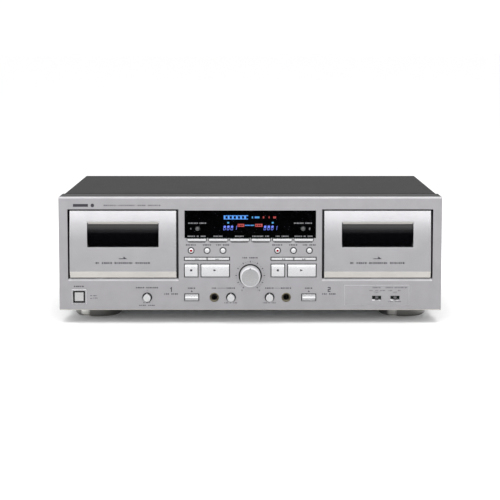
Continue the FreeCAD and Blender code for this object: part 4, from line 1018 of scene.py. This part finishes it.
# %% Name line over the left door
LEFT_DOOR_X = middle_mm("left_door_panel").x
NAME_Z = PANEL_HIGH.z - 9.8
BADGE_HALF_H, BADGE_DISC_R = 1.6, 2.0
name_line = dashes(LEFT_DOOR_X + 10.8, NAME_Z, 65.0, LABEL_HIGH, (6, 8, 4, 6))
marks("panel_name_line", name_line, material=ink_soft)
bar = rectangle(LEFT_DOOR_X - 56.5, LEFT_DOOR_X - 39.5, NAME_Z - BADGE_HALF_H, NAME_Z + BADGE_HALF_H)
marks("panel_badge", [bar, disc(LEFT_DOOR_X - 34.5, NAME_Z, BADGE_DISC_R)])
print("labels are in place")

# %% [markdown]
# ## Level scale
# Eleven bold ticks and two fine ones between each pair run round the level knob over 300 degrees.
# Drawn by angle, they stay true to the knob's own turn. The numerals 0 and 10 close the scale.

# %% Level knob scale
SCALE_R = 15.9
SWEEP = 150.0
BIG_TICKS, FINE_BETWEEN = 11, 2
BOLD_TICK = (SCALE_R - 0.8, SCALE_R + 1.0, 0.9)
FINE_TICK = (SCALE_R - 0.2, SCALE_R + 0.5, 0.35)


def tick(x, z, turn_deg, inner, outer, width):
    turn = math.radians(turn_deg)
    out = Vector((math.sin(turn), math.cos(turn)))
    side = Vector((out.y, -out.x)) * width / 2
    a, b = out * inner, out * outer
    corners = (a - side, b - side, b + side, a + side)
    return [(x + c.x, z + c.y) for c in corners]


knob_place = middle_mm("rec_level_knob")
steps = (BIG_TICKS - 1) * (FINE_BETWEEN + 1)
scale = []
for n in range(steps + 1):
    bold = n % (FINE_BETWEEN + 1) == 0
    inner, outer, width = BOLD_TICK if bold else FINE_TICK
    scale.append(tick(knob_place.x, knob_place.z, -SWEEP + 2 * SWEEP * n / steps, inner, outer, width))
END_DOWN, END_HIGH = 17.0, 1.7
for sign, dx in (("0", -9.4), ("1", 8.9), ("0", 10.5)):
    scale += numeral(sign, knob_place.x + dx, knob_place.z - END_DOWN, END_HIGH)
scale += dashes(knob_place.x, knob_place.z + 20.4, 17.6, LABEL_HIGH, (3, 5))
marks("level_scale", scale)
print("scale has", steps + 1, "ticks")

# %% [markdown]
# ## Signs on the keys
# The tape signs are generic: a square for stop, a triangle for play, two triangles for winding and
# a red dot for record. Each lies on its own key and moves with it.

# %% Signs on keys
for side in SIDES:
    stop, play = (f"{side}_{key}_key" for key in ("stop", "play"))
    x0, x1, z0, z1 = cap_box(stop)
    x, z = (x0 + x1) / 2, (z0 + z1) / 2 + 0.4
    top_y = box_mm(stop)[0].y
    marks(f"{side}_stop_sign", [rectangle(x - 1.25, x + 1.25, z - 1.15, z + 1.15)], stop, y=top_y)
    x0, x1, z0, z1 = cap_box(play)
    marks(f"{side}_play_sign", [triangle((x0 + x1) / 2 - 0.4, z, 3.2, 2.6)], play, y=top_y)
    for key, way in (("rewind", -1), ("forward", 1)):
        node = f"{side}_{key}_key"
        x0, x1, z0, z1 = cap_box(node)
        x, z_mid = (x0 + x1) / 2 - way * 1.0, (z0 + z1) / 2 - 0.2
        signs = [triangle(x + dx, z_mid, way * 2.0, 1.7) for dx in (-1.1, 1.1)]
        marks(f"{side}_{key}_sign", signs, node, y=box_mm(node)[0].y)
    node = f"{side}_record_key"
    place = middle_mm(node)
    dot = lathe_mesh("dot", [(0, 0), (1.35, 0.03), (1.4, 0.25), (0, 0.25)], (place.x, place.z), steps=48)
    dot.transform(Matrix.Translation((0.0, (box_mm(node)[0].y - 0.06) * MM, 0.0)))
    add_piece(f"{side}_record_dot", dot, node, ink_red)
print("signs are on the keys")


# %% [markdown]
# ## Marks on the doors
# The door's face is curved, so a flat mark would sink into it. Each mark is made flat, and then every
# point of it is moved to the depth of the face at its own height.

# %% Marks on the doors
ARROW_UP = 22.0
DOOR_LINE_UP, DOOR_LINE_WIDE, DOOR_LINE_HIGH = 17.5, 62.0, 2.0


def door_marks(name, side, loops):
    """Marks that lie on the door's curved face: each point is moved to the face's own depth."""
    low, high = box_mm(f"{side}_door_panel")
    mesh = flat_mesh(name, loops, 0.0, INK_THICK)
    for vertex in mesh.vertices:
        vertex.co.y += (door_face_y(vertex.co.z / MM, low, high) + INK_THICK * 0.2) * MM
    return add_piece(name, mesh, f"{side}_door", ink)


for side in SIDES:
    x = middle_mm(f"{side}_door_panel").x
    base = box_mm(f"{side}_door_panel")[0].z
    stroke_z = base + ARROW_UP
    arrow = [rectangle(x - 4.7, x + 0.4, stroke_z, stroke_z + 0.8),
             [(x + 0.4, stroke_z), (x + 5.0, stroke_z), (x + 0.6, stroke_z + 2.9)]]
    door_marks(f"{side}_door_arrow", side, arrow)
    line = dashes(x, base + DOOR_LINE_UP, DOOR_LINE_WIDE, DOOR_LINE_HIGH, (2, 5, 9, 7))
    door_marks(f"{side}_door_line", side, line)
print("doors are marked")

# %% [markdown]
# ## Display
# Behind the lens is a fluorescent tube: blue bars for level, two four-digit counters, and red boxes
# for the deck in use. Its segments really glow, so they are emissive. On a real deck the smoked lens
# makes everything else look black. Here a black mask behind the lens does that and hides the board,
# so the segments keep their colours.

# %% Display finishes
def glow(name, colour, strength):
    material = finish(name, (0.01, 0.01, 0.012), 0.0, 0.5, Emission_Strength=strength)
    ramp = add_node(material, "ShaderNodeValToRGB")
    ramp.color_ramp.elements[0].color = (*near(colour, -0.25), 1.0)
    ramp.color_ramp.elements[1].color = (*colour, 1.0)
    link = material.node_tree.links.new
    link(grain(material, 1200.0), ramp.inputs["Fac"])
    link(ramp.outputs["Color"], shader_of(material).inputs["Emission Color"])
    return material


blue_glow = glow("segment_blue", (0.06, 0.33, 1.0), 1.25)
violet_glow = glow("segment_violet", (0.16, 0.24, 1.0), 1.5)
cyan_glow = glow("segment_cyan", (0.06, 0.50, 1.0), 0.95)
red_glow = glow("segment_red", (0.9, 0.05, 0.04), 0.65)
mask_black = smoked_finish("display_mask", (0.001, 0.001, 0.0012), 0.7, 0.0, 1.0)

LENS_LOW, LENS_HIGH = box_mm("display_window")
MASK_Y = LENS_HIGH.y + 0.25
GLOW_Y = MASK_Y - 0.12
GLOW_THICK = 0.06


def shown(name, loops, material):
    return add_piece(name, flat_mesh(name, loops, GLOW_Y, GLOW_THICK), "deck", material)


# %% [markdown]
# ## Display mask
# The mask is one filled sheet just behind the lens. The counter keys pass through it, and a disc
# nested in the sheet's outline becomes a hole for each.

# %% Display mask
MASK_WIDE, MASK_THICK = 148.6, 0.2
MASK_LOW_INSET, MASK_HIGH_INSET = 0.1, 1.6
KEY_HOLE_R = 3.2
key_places = [middle_mm(f"{side}_counter_key") for side in SIDES]
mask_low, mask_high = LENS_LOW.z + MASK_LOW_INSET, LENS_HIGH.z - MASK_HIGH_INSET
mask_loops = [rectangle(-MASK_WIDE / 2, MASK_WIDE / 2, mask_low, mask_high)]
mask_loops += [disc(place.x, place.z, KEY_HOLE_R) for place in key_places]
mask = flat_mesh("display_mask", mask_loops, MASK_Y + MASK_THICK, MASK_THICK)
add_piece("display_mask", mask, "deck", mask_black)
print("mask holes:", len(key_places))

# %% [markdown]
# ## Level meter
# The meter is two rows of short bars, one for each channel, and every second pair is joined by a
# block. One loop over the cells makes both.

# %% Level meter
METER_LEFT, METER_RIGHT = -30.2, -2.2
METER_Z = LENS_LOW.z + 23.1
METER_CELLS = 12
BAR_HIGH, ROW_UP = 0.9, 1.85
CELL_GAP = 0.3
cell = (METER_RIGHT - METER_LEFT) / METER_CELLS
bars, blocks = [], []
for n in range(METER_CELLS):
    x0 = METER_LEFT + n * cell
    x1 = x0 + cell - CELL_GAP
    for z in (METER_Z - ROW_UP, METER_Z + ROW_UP):
        bars.append(rectangle(x0, x1, z - BAR_HIGH / 2, z + BAR_HIGH / 2))
    if n % 2 == 0:
        blocks.append(rectangle(x0, x1, METER_Z - ROW_UP + BAR_HIGH / 2, METER_Z + ROW_UP - BAR_HIGH / 2))
shown("meter_bars", bars, blue_glow)
shown("meter_blocks", blocks, blue_glow)
print("meter bars:", len(bars))

# %% [markdown]
# ## Marks in the display
# To the right of the bars stand the signs of the scale, which turn red above full level. Each is a
# plain block, given as (left, right). A dot stands over each counter.

# %% Display marks
MARK_HIGH = 2.2
DOT_X, DOT_Z = (-25.1, 25.5), LENS_LOW.z + 17.0
DOT_HALF_W, DOT_HALF_H = 1.0, 0.9
MARKS_SHOWN = [
    ("meter_mark_first", [(1.8, 3.0)], cyan_glow),
    ("meter_marks_blue", [(5.2, 6.4), (6.7, 7.7)], blue_glow),
    ("meter_marks_cyan", [(8.0, 9.0), (9.2, 10.3)], cyan_glow),
    ("meter_marks_red", [(14.4, 15.8), (21.0, 21.9), (26.1, 27.5), (27.8, 29.2)], red_glow),
]
for name, spans, material in MARKS_SHOWN:
    loops = [rectangle(x0, x1, METER_Z - MARK_HIGH / 2, METER_Z + MARK_HIGH / 2) for x0, x1 in spans]
    shown(name, loops, material)
dots = [rectangle(x - DOT_HALF_W, x + DOT_HALF_W, DOT_Z - DOT_HALF_H, DOT_Z + DOT_HALF_H) for x in DOT_X]
shown("deck_dots", dots, cyan_glow)
print("rows of marks:", len(MARKS_SHOWN))


# %% [markdown]
# ## Counters
# Each deck has a four-digit counter of seven-segment digits. A digit is written as the letters of the
# segments that are lit, and the whole digit leans a little to the right.

# %% Counters
def digit(shape, x, z, width, height, lean=0.13, stroke=0.42):
    """One seven-segment digit. Segments: a top, b and c right, d bottom, e and f left, g middle."""
    half_w, half_h = width / 2, height / 2
    gap = stroke * 0.45
    across = {"a": half_h, "g": 0.0, "d": -half_h}
    upright = {"b": (half_w, 1), "c": (half_w, -1), "e": (-half_w, -1), "f": (-half_w, 1)}
    loops = []
    for segment in shape:
        if segment in across:
            level = across[segment]
            loop = rectangle(-half_w + gap, half_w - gap, level - stroke / 2, level + stroke / 2)
        else:
            px, way = upright[segment]
            z0, z1 = sorted((way * gap, way * (half_h - gap)))
            loop = rectangle(px - stroke / 2, px + stroke / 2, z0, z1)
        loops.append([(x + px + lean * pz, z + pz) for px, pz in loop])
    return loops


DIGITS = {"0": "abcdef", "1": "bc"}
COUNT_SHOWN = "0001"
COUNTER_X, COUNTER_Z = 23.0, LENS_LOW.z + 11.1
DIGIT_PITCH, DIGIT_WIDE, DIGIT_HIGH = 4.15, 2.1, 4.7
for side, sign in SIDES.items():
    loops = []
    for n, shape in enumerate(COUNT_SHOWN):
        x = sign * COUNTER_X + (n - 1.5) * DIGIT_PITCH
        loops += digit(DIGITS[shape], x, COUNTER_Z, DIGIT_WIDE, DIGIT_HIGH)
    shown(f"{side}_counter_digits", loops, violet_glow)

# %% [markdown]
# ## Deck boxes
# A red box on each side names a deck. Its word is cut out of the box, because a loop nested in
# another becomes a hole.

# %% Deck boxes
BOX_Z, BOX_HIGH = LENS_LOW.z + 14.0, 3.4
boxes = []
for x, width in ((-10.6, 7.5), (9.8, 8.2)):
    boxes.append(rectangle(x - width / 2, x + width / 2, BOX_Z - BOX_HIGH / 2, BOX_Z + BOX_HIGH / 2))
    boxes += dashes(x + 0.15, BOX_Z, width - 1.6, 1.5, 3)
shown("deck_boxes", boxes, red_glow)
shown("deck_link_blue", dashes(-2.0, BOX_Z, 8.0, 1.2, 5), blue_glow)
shown("deck_link_cyan", dashes(3.6, BOX_Z, 3.4, 1.2, 2), cyan_glow)

# %% [markdown]
# ## Marks printed on the lens
# The function keys sit under the lens, so their marks are printed on it, in light grey on black.

# %% Marks printed on the lens
LENS_FACE_Y = LENS_LOW.y
LENS_MARK_HIGH = 1.3
COUNTER_LABEL_Z = LENS_LOW.z + 17.0
KEY_LABEL_Z = LENS_LOW.z + 2.0
for side, sign in SIDES.items():
    place = middle_mm(f"{side}_counter_key")
    loops = dashes(place.x, COUNTER_LABEL_Z, 20.6, LENS_MARK_HIGH, (7, 5))
    loops += numeral(DECK_NUMBERS[side], place.x + sign * 7.4, place.z, 2.4)
    marks(f"{side}_counter_label", loops, material=ink_light, y=LENS_FACE_Y)
FUNCTION_LABELS = {"left_return": ((6, 2, 4), 20.9), "dubbing": (7, 10.4), "repeat": (6, 10.3),
                   "parallel": ((8, 3), 19.7), "dub_start": ((3, 5), 14.8), "right_return": ((6, 2, 4), 20.9)}
for name, (letters, width) in FUNCTION_LABELS.items():
    x = middle_mm(f"{name}_key").x
    loops = dashes(x, KEY_LABEL_Z, width, LENS_MARK_HIGH, letters)
    marks(f"{name}_label", loops, material=ink_light, y=LENS_FACE_Y)
print("display is lit")

# %% [markdown]
# ## Jack rings
# A jack socket shows a plated nut in the panel's hole. The nut has a rounded rim, and its inside
# slopes down to the bore, so it reads as an olive ring round a black hole. A lathe profile with a
# slope inside gives that ring at once.

# %% Jack nuts
ring_nickel = metal_finish("aged_nickel", (0.13, 0.118, 0.085), 0.3, 1500.0, EVEN, 0.01)
for name in ("mic", "phones"):
    x, _, z = MOUNT_PLACES[f"{name}_jack"]
    front = FACE_Y + 0.15
    inside = [(3.35, front + 2.6), (3.45, front + 1.1), (4.3, front + 0.45), (4.5, front + 0.1)]
    rim = [(4.75, front), (5.1, front + 0.1), (5.25, front + 0.5), (5.25, front + 2.6)]
    nut = lathe_mesh(f"{name}_jack_nut", inside + rim, (x, z), steps=72)
    add_piece(f"{name}_jack_nut", nut, "deck", ring_nickel)
    print(name, "jack nut at x =", round(x, 1), "z =", round(z, 1))

# %% [markdown]
# ## Rear
# The phono sockets carry the usual colours: red for the right channel, white for the left. Each colour
# is a thin washer round its socket. Plain dashes stand for the printed words, and an empty frame
# shows where the rating plate goes.

# %% Rear washers and marks
REAR_Y = box_mm("bottom_chassis")[1].y
WASHER_IN, WASHER_OUT, WASHER_THICK = 4.4, 5.9, 0.5
WASHER = [(WASHER_IN, REAR_Y), (WASHER_OUT, REAR_Y), (WASHER_OUT, REAR_Y + WASHER_THICK - 0.15),
          (WASHER_OUT - 0.2, REAR_Y + WASHER_THICK), (WASHER_IN, REAR_Y + WASHER_THICK)]
washer_red = moulded_finish("washer_red", (0.50, 0.02, 0.02), 0.4)
washer_white = moulded_finish("washer_white", (0.75, 0.75, 0.73), 0.4)
sockets = {name: place for name, place in MOUNT_PLACES.items() if name.startswith("line_")}
for name, place in sockets.items():
    washer = lathe_mesh(f"{name}_washer", WASHER, (place.x, place.z), steps=64)
    coloured = washer_red if name.endswith("right") else washer_white
    add_piece(f"{name}_washer", washer, "deck", coloured)

socket_x = [place.x for place in sockets.values()]
socket_z = [place.z for place in sockets.values()]
top = max(socket_z) + 10.0
inlet = MOUNT_PLACES["mains_inlet"]
rear = dashes(min(socket_x), top, 12.0, LABEL_HIGH, (4, 2))
rear += dashes(max(socket_x), top, 12.0, LABEL_HIGH, (4, 3))
rear += dashes(inlet.x, inlet.z + 15.0, 16.0, LABEL_HIGH, (2, 5))
PLATE_HALF_W, PLATE_HALF_H, PLATE_RIM = 24.0, 9.0, 0.5
plate_x, plate_z = (min(socket_x) + inlet.x) / 2 - 10.0, inlet.z + 5.0
for inset in (0.0, PLATE_RIM):
    half_w, half_h = PLATE_HALF_W - inset, PLATE_HALF_H - inset
    rear.append(rectangle(plate_x - half_w, plate_x + half_w, plate_z - half_h, plate_z + half_h))
marks("rear_marks", rear, y=REAR_Y + INK_THICK)
print("washers:", len(sockets))
